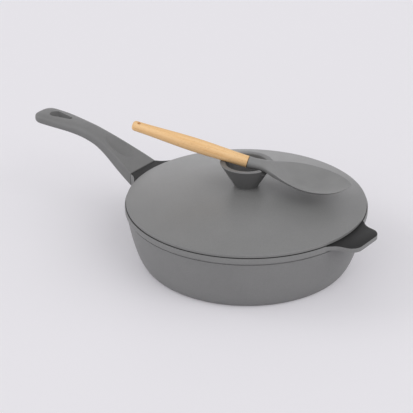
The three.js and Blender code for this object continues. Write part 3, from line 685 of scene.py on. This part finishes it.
def end_groove(pan):
    """Fills the groove under the band where the boss grows, so that the boss has smooth sides."""
    deepest = WALL_TOP_RADIUS - BAND_GROOVE
    outwards = WALL_TOP_RADIUS / deepest
    sector = ROOT_HALF_ANGLE + math.radians(1)

    def in_groove(place):
        beside = abs(math.atan2(place.y, -place.x)) < sector
        deep = abs(place.xy.length - deepest) < TINY
        return beside and deep and abs(place.z - BAND_BOTTOM) < BAND_GROOVE + TINY

    select_points(pan, in_groove)
    scale_about((0.0, 0.0, 0.0), (outwards, outwards, 1.0))
    bpy.ops.mesh.remove_doubles(threshold=WELD, use_unselected=True)


def draw_boss(pan):
    """The boss for the long handle: wall and band on the -X side, drawn out to a flat end and a tongue."""
    outside_rim = RIM_RADIUS + BOSS_CLEARANCE / 2
    steps = [(BOSS_END - before, half_width) for before, half_width in BOSS_FLARE]
    steps.append((BOSS_END, BOSS_WIDTH / 2))

    def outer_side(place, normal):
        facing_out = place.z > BOSS_BOTTOM and normal.x < -0.5
        under_band = abs(normal.z) > 0.9 and abs(place.z - BAND_BOTTOM) < 1.5
        return near_direction(place, -1) and (facing_out or under_band)

    def raised_top(place):
        return place.xy.length > outside_rim and place.x < 0 and place.z > PAN_HEIGHT - NEAR

    select_faces(pan, outer_side)
    half = RIM_RADIUS * math.sin(ROOT_HALF_ANGLE)
    # a low step beside the rim, then out to the flat end
    extrude()
    spread = 1.0 + BOSS_CLEARANCE / RIM_RADIUS
    scale_about((0.0, 0.0, 0.0), (spread, spread, 1.0))
    mesh = bmesh.from_edit_mesh(pan.data)
    for point in mesh.verts:
        if raised_top(point.co):
            point.co.z += BOSS_LIFT
    bmesh.update_edit_mesh(pan.data)
    for count, (reach, half_width) in enumerate(steps):
        extrude()
        scale_about((-reach, 0.0, 0.0), (0.0, half_width / half, 1.0))
        half = half_width
        if count == 0:
            bpy.ops.mesh.dissolve_limited(angle_limit=FLAT_ANGLE)
    top = PAN_HEIGHT + BOSS_LIFT
    middle = (top + BOSS_BOTTOM) / 2
    extrude()
    ratio = (1.0, TONGUE_WIDTH / BOSS_WIDTH, TONGUE_THICKNESS / (top - BOSS_BOTTOM))
    scale_about((-BOSS_END, 0.0, middle), ratio)
    bpy.ops.transform.translate(value=(0.0, 0.0, TONGUE_MIDDLE - middle))
    extrude((-TONGUE_LENGTH, 0.0, 0.0))


def round_edges(pan):
    """Rounds the rim's outer edge together with the edges of the helper handle and the boss."""
    selecting(pan, "EDGE")
    bpy.ops.mesh.edges_select_sharp(sharpness=math.radians(40))
    mesh = bmesh.from_edit_mesh(pan.data)
    for edge in mesh.edges:
        ends = [point.co for point in edge.verts]
        low = min(end.z for end in ends) < BOSS_BOTTOM - 0.5
        inner = all(end.xy.length < RIM_RADIUS - 1.0 and end.z > BOSS_BOTTOM + 1 for end in ends)
        tongue = all(end.x < -BOSS_END + NEAR for end in ends)
        step = all(near_direction(end, -1) and end.xy.length < RIM_RADIUS + 0.5 for end in ends)
        if low or inner or tongue or step:
            edge.select_set(False)
    bmesh.update_edit_mesh(pan.data)
    bpy.ops.mesh.bevel(offset=EDGE_ROUND, segments=3, affect="EDGES", clamp_overlap=True)


def coat_inside(pan):
    """Gives the dark coating to the inside and the level top, but for the rim's bare outer edge."""
    for face in pan.data.polygons:
        place = face.center * METRE
        from_axis = place.xy.length
        beside_grips = near_direction(place, math.copysign(1, place.x))
        # past the lid's lip the coating makes a thin dark ring, painted shade for the gap under the lip
        bare_edge = COATING_AND_GAP_SHADE_RADIUS < from_axis < RIM_RADIUS and not beside_grips
        level_top = face.normal.z > 0.96 and place.z > PAN_HEIGHT - 0.4 and not bare_edge
        inward = face.normal.xy.dot(place.xy) < 0.0 or face.normal.z > 0.9
        inside_wall = from_axis < MOUTH_RADIUS + 0.6 and place.z > FLOOR - 0.2 and inward
        face.material_index = 1 if level_top or inside_wall else 0


def make_pan():
    """The vessel, turned, with the helper handle, the boss and the tongue drawn out of it."""
    pocket = DISC_RADIUS + SEAT_GAP
    ceiling = DISC_THICKNESS + SEAT_GAP
    groove_bottom = BAND_BOTTOM - BAND_GROOVE
    groove_radius = WALL_TOP_RADIUS - BAND_GROOVE
    outside = wall_points(0.0, 0.0, BOSS_BOTTOM)
    inside = wall_points(WALL, FLOOR)
    points = [
        (0.0, ceiling),
        (pocket, ceiling),
        (pocket, 0.0),
        *outside[:-1],
        (WALL_TOP_RADIUS, groove_bottom),
        (groove_radius, groove_bottom),
        (groove_radius, BAND_BOTTOM),
        (RIM_RADIUS - BAND_CHAMFER, BAND_BOTTOM),
        (RIM_RADIUS, BAND_BOTTOM + BAND_CHAMFER),
        (RIM_RADIUS, PAN_HEIGHT - EAR_THICKNESS),
        (RIM_RADIUS, PAN_HEIGHT),
        (COATING_AND_GAP_SHADE_RADIUS, PAN_HEIGHT),
        (MOUTH_RADIUS, PAN_HEIGHT),
        *reversed(inside),
        (0.0, FLOOR),
    ]
    rounds = {(pocket, 0.0): SEAT_GAP, (MOUTH_RADIUS, PAN_HEIGHT): MOUTH_ROUND}
    pan = turned("pan", points, rounds, PAN_STEPS)
    open_mesh(pan)
    draw_ear(pan)
    end_groove(pan)
    draw_boss(pan)
    round_edges(pan)
    close_mesh()
    pan = finished(pan, "pan", "pan_body", [COATING, NON_STICK])
    coat_inside(pan)
    return pan


def make_disc():
    """The steel disc in the base, with rings turned into its underside."""
    grooves = []
    for radius in DISC_GROOVES:
        deepest = (radius - DISC_GROOVE_WIDTH / 2, DISC_GROOVE_DEPTH)
        grooves += [(radius - DISC_GROOVE_WIDTH, 0.0), deepest, (radius, 0.0)]
    plain = rod_profile(DISC_RADIUS, 0.0, DISC_THICKNESS)
    points = [plain[0], *grooves, *plain[1:]]
    disc = turned("base_disc", points, {(DISC_RADIUS, 0.0): DISC_ROUND}, PAN_STEPS)
    return finished(disc, "pan", "induction_disc", [STEEL], math.radians(20))


# Long handle

HANDLE_LINE = (
    (HANDLE_ROOT, ROOT_MIDDLE),
    (HANDLE_ROOT + ROOT_PULL * math.cos(ROOT_SLOPE), ROOT_MIDDLE + ROOT_PULL * math.sin(ROOT_SLOPE)),
    (
        HANDLE_TIP - TIP_PULL * math.cos(TIP_SLOPE),
        ROOT_MIDDLE + HANDLE_RISE - TIP_PULL * math.sin(TIP_SLOPE),
    ),
    (HANDLE_TIP, ROOT_MIDDLE + HANDLE_RISE),
)


def handle_direction(share):
    ahead = curve_point(HANDLE_LINE, min(1.0, share + 0.001))
    behind = curve_point(HANDLE_LINE, max(0.0, share - 0.001))
    return (ahead - behind).normalized()


def handle_share(reach):
    """The share of the handle's line at which it gets this far from the pan's axis, by halving."""
    low, high = 0.0, 1.0
    for _ in range(40):
        middle = (low + high) / 2
        if curve_point(HANDLE_LINE, middle).x < reach:
            low = middle
        else:
            high = middle
    return low


def handle_section(share):
    """Width, depth and squareness: a wide square root, a slim waist, a broad palm and a round tip."""
    root = max(0.0, 1.0 - share / WAIST_AT) ** 1.5
    palm = eased((share - PALM_START) / PALM_GROWTH)
    reach = curve_point(HANDLE_LINE, share).x
    tip = min(1.0, max(0.0, (reach - (HANDLE_TIP - TIP_ROUND)) / TIP_ROUND))
    sizes = [mix(mix(WAIST_SIZE[k], ROOT_SIZE[k], root), PALM_SIZE[k], palm) for k in (0, 1)]
    width = sizes[0] * math.sqrt(max(0.0, 1.0 - tip**2.8))
    depth = sizes[1] * math.sqrt(max(0.0, 1.0 - 0.35 * tip**2 - 0.65 * tip**4.5))
    at_root = ROOT_SQUARENESS * math.exp(-share / ROOT_FADE)
    at_tip = TIP_SQUARENESS * eased((share - SQUARE_TIP[0]) / SQUARE_TIP[1])
    return width, depth, SQUARENESS + at_root + at_tip


def handle_ring(share, count=64):
    """A section's outline, upright at the root and square to the handle's line further out."""
    place = curve_point(HANDLE_LINE, share)
    along = handle_direction(share)
    upright = 1.0 - min(1.0, share / ROOT_FADE)
    up = Vector((-along.y, along.x)).lerp(Vector((0.0, 1.0)), upright).normalized()
    width, depth, power = handle_section(share)
    ring = []
    for k in range(count):
        angle = (k + 0.5) / count * 2.0 * math.pi
        across = width / 2 * squarish(math.cos(angle), power)
        height = depth / 2 * squarish(math.sin(angle), power)
        ring.append(Vector((-place.x - up.x * height, across, place.y + up.y * height)))
    return ring


def slot_cutter():
    """The hanging slot: a flat plate with two round ends, raised through the handle."""
    narrow, wide = SLOT_RADII
    outline = []
    for centre, radius, start in ((SLOT_ENDS[1], wide, -90), (SLOT_ENDS[0], narrow, 90)):
        for k in range(17):
            angle = math.radians(start + k * 180 / 16)
            outline.append(Vector((-centre - radius * math.cos(angle), radius * math.sin(angle), 0.0)))
    rings = [[point + Vector((0.0, 0.0, height)) for point in outline] for height in SLOT_CUT]
    return drawn_out("slot_cutter", rings)


def thumb_cutter():
    """The hollow for the thumb: a flattened ball laid on the handle's top."""
    share = handle_share(HANDLE_ROOT + THUMB_AT)
    place = curve_point(HANDLE_LINE, share)
    along = handle_direction(share)
    up = Vector((-along.y, along.x))
    lift = THUMB_DEPTH * 2
    height = handle_section(share)[1] / 2 + lift
    bpy.ops.mesh.primitive_uv_sphere_add(segments=64, ring_count=32, radius=1.0)
    ball = bpy.context.object
    ball.scale = (THUMB_SIZE[0] / 2, THUMB_SIZE[1] / 2, lift + THUMB_DEPTH)
    ball.rotation_euler = (0.0, math.atan2(along.y, along.x), 0.0)
    ball.location = (-place.x - up.x * height, 0.0, place.y + up.y * height)
    settle(ball)
    return ball


def tongue_cutter():
    """The pocket for the pan's tongue: a box that is open towards the pan."""
    half = TONGUE_WIDTH / 2 + SEAT_GAP
    thick = TONGUE_THICKNESS / 2 + SEAT_GAP
    low = Vector((-BOSS_END - TONGUE_LENGTH - SEAT_GAP, -half, TONGUE_MIDDLE - thick))
    high = Vector((-BOSS_END + 5.0, half, TONGUE_MIDDLE + thick))
    bpy.ops.mesh.primitive_cube_add(size=1.0, location=(low + high) / 2)
    box = bpy.context.object
    box.scale = high - low
    settle(box)
    return box


def make_handle():
    """The long handle with all that is cut into it."""
    root = handle_share(HANDLE_ROOT + SEAT_GAP)
    round_start = handle_share(HANDLE_TIP - TIP_ROUND)
    round_end = handle_share(HANDLE_TIP - TIP_SHORT)
    shares = [mix(root, round_start, (k / HANDLE_STEPS) ** 1.15) for k in range(HANDLE_STEPS)]
    for k in range(TIP_STEPS + 1):
        angle = math.radians(k * 90.0 / TIP_STEPS)
        shares.append(mix(round_start, round_end, math.sin(angle)))
    handle = drawn_out("handle", [handle_ring(share) for share in shares])
    cut(handle, thumb_cutter())
    cut(handle, tongue_cutter())
    bore = rod_profile(HANDLE_HEAD_RADIUS + SEAT_GAP, *COUNTERBORE)
    counterbore = turned("bore", bore, None, SCREW_STEPS)
    counterbore.location.x = -HANDLE_SCREW_AT
    cut(handle, counterbore)
    cut(handle, slot_cutter())
    soften(handle, HANDLE_EDGE_ROUND)
    return finished(handle, "pan", "handle_grip", [HANDLE_PLASTIC], math.radians(17))


# Fastenings

def make_screw(name, body, node, shank, head, bottom, height, top, reach):
    """A screw that stands head down, with a rounded head and a six-sided socket."""
    shoulder = bottom + height
    points = rod_profile(head, bottom, shoulder)[:-1] + rod_profile(shank, shoulder, top)[1:]
    rounds = {(head, bottom): height * 0.4, (head, shoulder): height * 0.12, (shank, top): 0.4}
    piece = turned(name, points, rounds, SCREW_STEPS)
    socket = turned("socket", rod_profile(shank * 0.8, bottom - 1.0, bottom + height * 0.6), None, 6)
    # turned by half a face, so that its corners fall in the middle of the head's faces
    socket.rotation_euler.z = math.radians(180 / SCREW_STEPS)
    cut(piece, socket)
    piece.location.x = -reach
    return finished(piece, body, node, [STEEL])


def make_ring(name, body, node, slot, material, inner, outer, bottom, top, reach=0.0):
    """A washer, gasket or insert: a plain ring with its outer edges rounded."""
    cut_back = min(0.2, (top - bottom) / 4)
    rounds = {(outer, bottom): cut_back, (outer, top): cut_back}
    piece = turned(name, ring_profile(inner, outer, bottom, top), rounds, 64)
    piece.location.x = -reach
    return finished(piece, body, node, [material])


def make_fastenings():
    make_screw(
        "handle_fixing_screw", "pan", "handle_screw", HANDLE_SCREW_RADIUS, HANDLE_HEAD_RADIUS,
        HANDLE_HEAD_BOTTOM, HANDLE_HEAD_HEIGHT, INSERT_SPAN[1], HANDLE_SCREW_AT,
    )
    hole = HANDLE_SCREW_RADIUS + SEAT_GAP
    make_ring(
        "handle_washer", "pan", "handle_lock_washer", "steel", STEEL,
        hole, HANDLE_HEAD_RADIUS, *HANDLE_WASHER, HANDLE_SCREW_AT,
    )
    make_ring(
        "handle_insert", "pan", "handle_threaded_insert", "steel", STEEL,
        hole, hole + INSERT_WALL, *INSERT_SPAN, HANDLE_SCREW_AT,
    )
    washer_bottom = LID_UNDERSIDE - KNOB_WASHER_THICKNESS
    make_screw(
        "knob_fixing_screw", "lid", "knob_screw", KNOB_SCREW_RADIUS, KNOB_HEAD_RADIUS,
        washer_bottom - KNOB_HEAD_HEIGHT, KNOB_HEAD_HEIGHT, KNOB_BOTTOM + KNOB_SCREW_GRIP, 0.0,
    )
    make_ring(
        "knob_fixing_washer", "lid", "knob_washer", "steel", STEEL,
        KNOB_HOLE, KNOB_WASHER_RADIUS, washer_bottom, LID_UNDERSIDE,
    )
    make_ring(
        "knob_seal", "lid", "knob_gasket", "silicone", SILICONE,
        KNOB_HOLE, GASKET_RADIUS, KNOB_SEAT, KNOB_BOTTOM,
    )
    make_ring(
        "knob_insert", "lid", "knob_threaded_insert", "brass", BRASS,
        KNOB_HOLE, KNOB_INSERT_RADIUS, KNOB_BOTTOM, KNOB_BOTTOM + KNOB_INSERT_HEIGHT,
    )


# Lid

def make_lid():
    """The domed shell, with the lip over the rim, the seating land and the locating skirt."""
    skirt_inside = SKIRT_RADIUS - SKIRT_WALL
    outer = spaced(KNOB_SEAT_RADIUS, LID_RADIUS, LID_STEPS)
    inner = spaced(KNOB_SEAT_RADIUS, skirt_inside, LID_STEPS)
    points = [
        (KNOB_HOLE, LID_UNDERSIDE),
        *[(radius, dome_height(radius) - LID_THICKNESS) for radius in inner],
        (skirt_inside, SKIRT_BOTTOM),
        (SKIRT_RADIUS, SKIRT_BOTTOM),
        (SKIRT_RADIUS, LAND_BOTTOM),
        (LAND_RADIUS, LAND_BOTTOM),
        (LAND_RADIUS, LIP_BOTTOM),
        (LID_RADIUS, LIP_BOTTOM),
        *[(radius, dome_height(radius)) for radius in reversed(outer)],
        (KNOB_HOLE, KNOB_SEAT),
        (KNOB_HOLE, LID_UNDERSIDE),
    ]
    rounds = {
        (skirt_inside, SKIRT_BOTTOM): SKIRT_ROUND,
        (SKIRT_RADIUS, SKIRT_BOTTOM): SKIRT_ROUND,
        (LID_RADIUS, LIP_BOTTOM): LIP_ROUNDS[0],
        (LID_RADIUS, LIP_TOP): LIP_ROUNDS[1],
    }
    lid = turned("lid", points, rounds, PAN_STEPS)
    lid = finished(lid, "lid", "lid_shell", [COATING, NON_STICK])
    # The underside, the land and the lip's lower face take the dark coating; under the lip it paints the
    # shade of the gap.
    for face in lid.data.polygons:
        place = face.center * METRE
        inside = face.normal.z < 0.2 and place.xy.length < LAND_RADIUS + NEAR
        face.material_index = 1 if inside or face.normal.z < -0.7 else 0
    return lid


# Knob

def cup_points(count=14):
    """The cup's inside, curved from the rim down to its floor."""
    start = (KNOB_RIM_RADIUS - KNOB_RIM_WIDTH, KNOB_TOP)
    low = ((start[0] + CUP_FLOOR_RADIUS) / 2, CUP_FLOOR)
    end = (CUP_FLOOR_RADIUS, CUP_FLOOR)
    points = []
    for k in range(count + 1):
        t = k / count
        s = 1 - t
        points.append(tuple(s**2 * a + 2 * t * s * b + t * t * c for a, b, c in zip(start, low, end)))
    return points


def channel_ring(distance):
    """A section of the channel in the rim, open upwards: its close side follows the spoon's head."""
    close = head_half_width(distance) + NOTCH_MARGIN
    wide = distance * math.tan(NOTCH_OPENING)
    floor = head_rise(distance) - bowl_sag(distance) - head_thickness(distance) / 2 - SEAT_GAP

    def side_points(side, wall, cut_round):
        points = [Vector((distance, side * wall, 2.0 * CUP_DEPTH))]
        for k in range(9):
            angle = math.radians(k * 90 / 8)
            across = wall - cut_round * (1.0 - math.cos(angle))
            points.append(Vector((distance, side * across, floor + cut_round * (1.0 - math.sin(angle)))))
        return points

    open_side = side_points(-1.0, wide, NOTCH_OPEN_ROUND)
    return side_points(1.0, close, NOTCH_ROUND) + open_side[::-1]


def channel_cutter():
    """The channel for the spoon's neck and shoulder, drawn along the spoon's axis."""
    reaches = spaced(NECK_LENGTH / 2, KNOB_RIM_RADIUS + NECK_LENGTH, 14)
    return laid_on_knob(drawn_out("channel_cutter", [channel_ring(reach) for reach in reaches]))


def make_knob():
    """The cup on its small foot, with the channel that the spoon lies in."""
    inwards, down = KNOB_RIM_CHAMFER
    points = [
        (0.0, KNOB_BOTTOM),
        (KNOB_FOOT_RADIUS, KNOB_BOTTOM),
        (KNOB_FOOT_RADIUS, KNOB_BOTTOM + KNOB_FOOT_HEIGHT),
        (KNOB_RIM_RADIUS, KNOB_TOP - down),
        (KNOB_RIM_RADIUS - inwards, KNOB_TOP),
        *cup_points(),
        (0.0, CUP_FLOOR),
    ]
    rounds = {
        (KNOB_FOOT_RADIUS, KNOB_BOTTOM): KNOB_FOOT_ROUND,
        (KNOB_RIM_RADIUS - KNOB_RIM_WIDTH, KNOB_TOP): KNOB_RIM_ROUND,
    }
    knob = turned("knob", points, rounds, 128)
    cut(knob, channel_cutter())
    cut(knob, laid_on_knob(wood_body("wood_cutter", SEAT_GAP)))
    soften(knob, KNOB_EDGE_ROUND)
    plastics = [KNOB_PLASTIC_PAINTED_SHADE, KNOB_TOP_PAINTED_LIGHT]
    knob = finished(knob, "lid", "lid_knob", plastics, math.radians(22))
    # upward faces at the rim's top get the lighter copy: painted light on the top, painted shade on the
    # rest
    for face in knob.data.polygons:
        painted_light_top = face.normal.z > 0.5 and face.center.z * METRE > KNOB_TOP - 0.8
        face.material_index = 1 if painted_light_top else 0
    return knob


# Spoon

def wood_radius(distance):
    """The wood swells from the joint to a belly and slims to its end."""
    if distance < WOOD_BELLY_AT:
        return mix(WOOD_JOINT_RADIUS, WOOD_BELLY_RADIUS, eased(distance / WOOD_BELLY_AT))
    past = (distance - WOOD_BELLY_AT) / (WOOD_LENGTH - WOOD_BELLY_AT)
    return mix(WOOD_BELLY_RADIUS, WOOD_END_RADIUS, eased(past))


def wood_body(name, grow=0.0):
    """The turned wood, with its axis along X, grown on all sides by a clearance."""
    straight = WOOD_LENGTH - WOOD_END_ROUND
    start = SEAT_GAP - grow
    points = [(0.0, start)]
    for k in range(33):
        distance = mix(SEAT_GAP, straight, k / 32)
        points.append((wood_radius(distance) + grow, distance if k else start))
    for k in range(1, 9):
        angle = math.radians(k * 90 / 8)
        radius = wood_radius(straight) * mix(WOOD_END_FLAT, 1.0, math.cos(angle))
        points.append((radius + grow, straight + (WOOD_END_ROUND + grow) * math.sin(angle)))
    points.append((0.0, WOOD_LENGTH + grow))
    wood = turned(name, points, None, 64)
    wood.rotation_euler = (0.0, -math.pi / 2, 0.0)
    settle(wood)
    return wood


def make_spoon_handle():
    wood = wood_body("spoon_wood")
    reach = WOOD_BELLY_RADIUS * 2
    hole = turned("hole", rod_profile(WOOD_HOLE_RADIUS, -reach, reach), None, 40)
    hole.location.x = WOOD_HOLE_AT - WOOD_LENGTH
    hole.rotation_euler.x = WOOD_HOLE_TURN
    cut(wood, hole)
    soften(wood, SPOON_EDGE_ROUND)
    return finished(laid_on_knob(wood), "spoon", "spoon_handle", [BEECH])


def head_half_width(distance):
    """Half the head's width: the neck swells into the bowl, which closes in a tip."""
    along = distance - NECK_LENGTH - SHOULDER_LENGTH
    if along > 0.0:
        share = along / BOWL_REACH
        power = mix(BOWL_ROUNDNESS, TIP_ROUNDNESS, share**4)
        return BOWL_WIDTH / 2 * max(0.0, 1.0 - share**2) ** power
    neck = mix(WOOD_JOINT_RADIUS, NECK_WIDTH / 2, eased(2.0 * distance / NECK_LENGTH))
    swell = 1.0 - min(1.0, -along / SHOULDER_LENGTH) ** 2
    return mix(neck, BOWL_WIDTH / 2, swell**SHOULDER_SWELL)


def head_rise(distance):
    """Height of the rim above the spoon's axis: lifted along the neck, curled up at the tip."""
    level = RIM_LIFT * eased(distance / RIM_LIFT_LENGTH)
    tip = NECK_LENGTH + SHOULDER_LENGTH + BOWL_REACH
    curl = max(0.0, 1.0 - (tip - distance) / TIP_CURL_LENGTH)
    return level + TIP_CURL * curl**TIP_CURL_POWER


def bowl_sag(distance):
    """How far the bowl's middle lies below its rim."""
    along = distance - NECK_LENGTH - SHOULDER_LENGTH
    place = along / (BOWL_REACH if along > 0.0 else SHOULDER_LENGTH - DISH_START)
    return BOWL_DEPTH * max(0.0, 1.0 - place**2)


def head_thickness(distance):
    """A stout neck that thins into the bowl's wall, which thins again towards the tip."""
    neck = mix(WOOD_JOINT_RADIUS * 2, NECK_THICKNESS, eased(2.0 * distance / NECK_LENGTH))
    wall = mix(neck, BOWL_WALL, eased((distance - NECK_LENGTH - DISH_START) / WALL_FADE))
    along = (distance - NECK_LENGTH - SHOULDER_LENGTH) / BOWL_REACH
    start, length = TIP_THINNING
    return wall * mix(1.0, TIP_THINNESS, eased((along - start) / length))


def head_ring(distance, collar, count=96):
    """A ring across the silicone head: round at the neck, a dished wall in the bowl."""
    half = head_half_width(distance) * collar
    thick = head_thickness(distance) * collar
    edge = min(thick, BOWL_WALL) * eased((distance - NECK_LENGTH) / RIM_LIFT_LENGTH)
    tuck = min(0.5, BOWL_TUCK * edge / half)
    ring = []
    for k in range(count):
        angle = k / count * 2.0 * math.pi
        upper = 2 * k <= count
        middle = head_rise(distance) - bowl_sag(distance) * math.sin(angle) ** 2
        wall = mix(edge, thick, abs(math.sin(angle))) / 2
        across = half * math.cos(angle) * (1.0 if upper else 1.0 - tuck)
        ring.append(Vector((distance, across, middle + (wall if upper else -wall))))
    return ring


def make_spoon_head():
    """The silicone neck and bowl, drawn through rings from the joint to the tip."""
    middle = NECK_LENGTH + SHOULDER_LENGTH
    stations = [(SEAT_GAP + distance, share) for distance, share in COLLAR]
    further = spaced(SEAT_GAP + 1.5, NECK_LENGTH, 12)[:-1] + spaced(NECK_LENGTH, middle, 36)[:-1]
    # the last ring stays a little short of the tip, where the bowl has no width
    for angle in spaced(0.0, 88.0, 30):
        further.append(middle + BOWL_REACH * math.sin(math.radians(angle)))
    stations += [(distance, 1.0) for distance in further]
    head = drawn_out("spoon_bowl", [head_ring(distance, collar) for distance, collar in stations])
    soften(head, SPOON_EDGE_ROUND, math.radians(45))
    return finished(laid_on_knob(head), "spoon", "spoon_head", [SILICONE], math.radians(40))


# Stage, light and camera

CAMERA_PLACE = (0.9536, -1.3619, 0.8931)  # metres
CAMERA_AHEAD = (-0.53342, 0.71881, -0.44584)
LENS_LENGTH = 140.0
SENSOR_WIDTH = 36.0
FLOOR_SIZE = 30.0  # metres
FLOOR_TONE = (0.776, 0.761, 0.799)
FLOOR_GLOW = 0.17
FILL_STRENGTH = 0.47
LAMPS = [  # name, strength, then in degrees its spread, turn from +X and height above the floor
    ("left", 0.65, 40.0, 206.0, 20.0),
    ("back", 0.18, 30.0, 126.6, 15.0),
    ("right", 0.35, 45.0, 36.6, 25.0),
    ("front_right", 0.66, 45.0, -8.4, 41.0),
    ("front", 0.37, 45.0, -53.4, 31.0),
    ("front_left", 0.3, 45.0, -98.4, 25.0),
]


def make_stage():
    """The pale paper that the pan stands on."""
    bpy.ops.mesh.primitive_plane_add(size=FLOOR_SIZE, location=(0.0, 0.0, 0.0))
    floor = bpy.context.object
    floor.name = "floor"
    nodes = Nodes("floor_paper")
    soft = nodes.noise(3.0, detail=2.0)
    colour = nodes.blend(nodes.range(soft, 0.0, 1.0), FLOOR_TONE, tuple(c * 1.004 for c in FLOOR_TONE))
    rough = nodes.range(soft, 0.9, 0.95)
    nodes.finish(colour, rough, Specular_IOR_Level=0.0)
    # the camera sees the paper a little lighter than its light alone makes it, shadow and all
    glow = nodes.add("ShaderNodeEmission", {"Color": (*FLOOR_TONE, 1.0), "Strength": FLOOR_GLOW})
    lighter = nodes.add("ShaderNodeAddShader")
    seen = nodes.add("ShaderNodeMixShader")
    nodes.link(nodes.shader.outputs["BSDF"], lighter, 0)
    nodes.link(glow.outputs["Emission"], lighter, 1)
    nodes.link(nodes.add("ShaderNodeLightPath").outputs["Is Camera Ray"], seen, "Fac")
    nodes.link(nodes.shader.outputs["BSDF"], seen, 1)
    nodes.link(lighter.outputs["Shader"], seen, 2)
    nodes.link(seen.outputs["Shader"], nodes.tree.nodes["Material Output"], "Surface")
    floor.data.materials.append(nodes.material)


def make_light():
    world = bpy.data.worlds.new("studio")
    bpy.context.scene.world = world
    world.use_nodes = True
    tree = world.node_tree
    # the camera and shiny surfaces see the pale backdrop, matte surfaces get a weaker fill
    fill = tree.nodes["Background"]
    fill.inputs["Color"].default_value = (1.0, 1.0, 1.0, 1.0)
    fill.inputs["Strength"].default_value = FILL_STRENGTH
    backdrop = tree.nodes.new("ShaderNodeBackground")
    backdrop.inputs["Color"].default_value = (*FLOOR_TONE, 1.0)
    rays = tree.nodes.new("ShaderNodeLightPath")
    either = tree.nodes.new("ShaderNodeMath")
    either.operation = "MAXIMUM"
    mixer = tree.nodes.new("ShaderNodeMixShader")
    link = tree.links.new
    link(rays.outputs["Is Camera Ray"], either.inputs[0])
    link(rays.outputs["Is Glossy Ray"], either.inputs[1])
    link(either.outputs["Value"], mixer.inputs["Fac"])
    link(fill.outputs["Background"], mixer.inputs[1])
    link(backdrop.outputs["Background"], mixer.inputs[2])
    link(mixer.outputs["Shader"], tree.nodes["World Output"].inputs["Surface"])
    for name, strength, *angles in LAMPS:
        add_lamp(name, strength, *(math.radians(angle) for angle in angles))


def add_lamp(name, strength, spread, turn, height):
    """A far, soft lamp in a direction given by its turn from +X and its height above the floor."""
    lamp = bpy.data.lights.new(name, "SUN")
    lamp.energy = strength
    lamp.angle = spread
    sun = bpy.data.objects.new(name, lamp)
    flat = math.cos(height)
    towards = Vector((flat * math.cos(turn), flat * math.sin(turn), math.sin(height)))
    sun.rotation_euler = towards.to_track_quat("Z", "Y").to_euler()
    bpy.context.scene.collection.objects.link(sun)


def make_camera():
    lens = bpy.data.cameras.new("camera")
    lens.lens = LENS_LENGTH
    lens.sensor_width = SENSOR_WIDTH
    camera = bpy.data.objects.new("camera", lens)
    camera.location = CAMERA_PLACE
    camera.rotation_euler = Vector(CAMERA_AHEAD).to_track_quat("-Z", "Y").to_euler()
    bpy.context.scene.collection.objects.link(camera)
    bpy.context.scene.camera = camera


def dress_core():
    """The spoon's core is hidden in the silicone: it keeps its CAD solid and gets a material."""
    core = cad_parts["spoon_core"]
    core.data.materials.clear()
    core.data.materials.append(CORE_NYLON)


make_camera()
make_light()
make_stage()
make_pan()
make_disc()
make_handle()
make_fastenings()
make_lid()
make_knob()
make_spoon_handle()
make_spoon_head()
dress_core()
bpy.context.scene.view_settings.view_transform = "Standard"
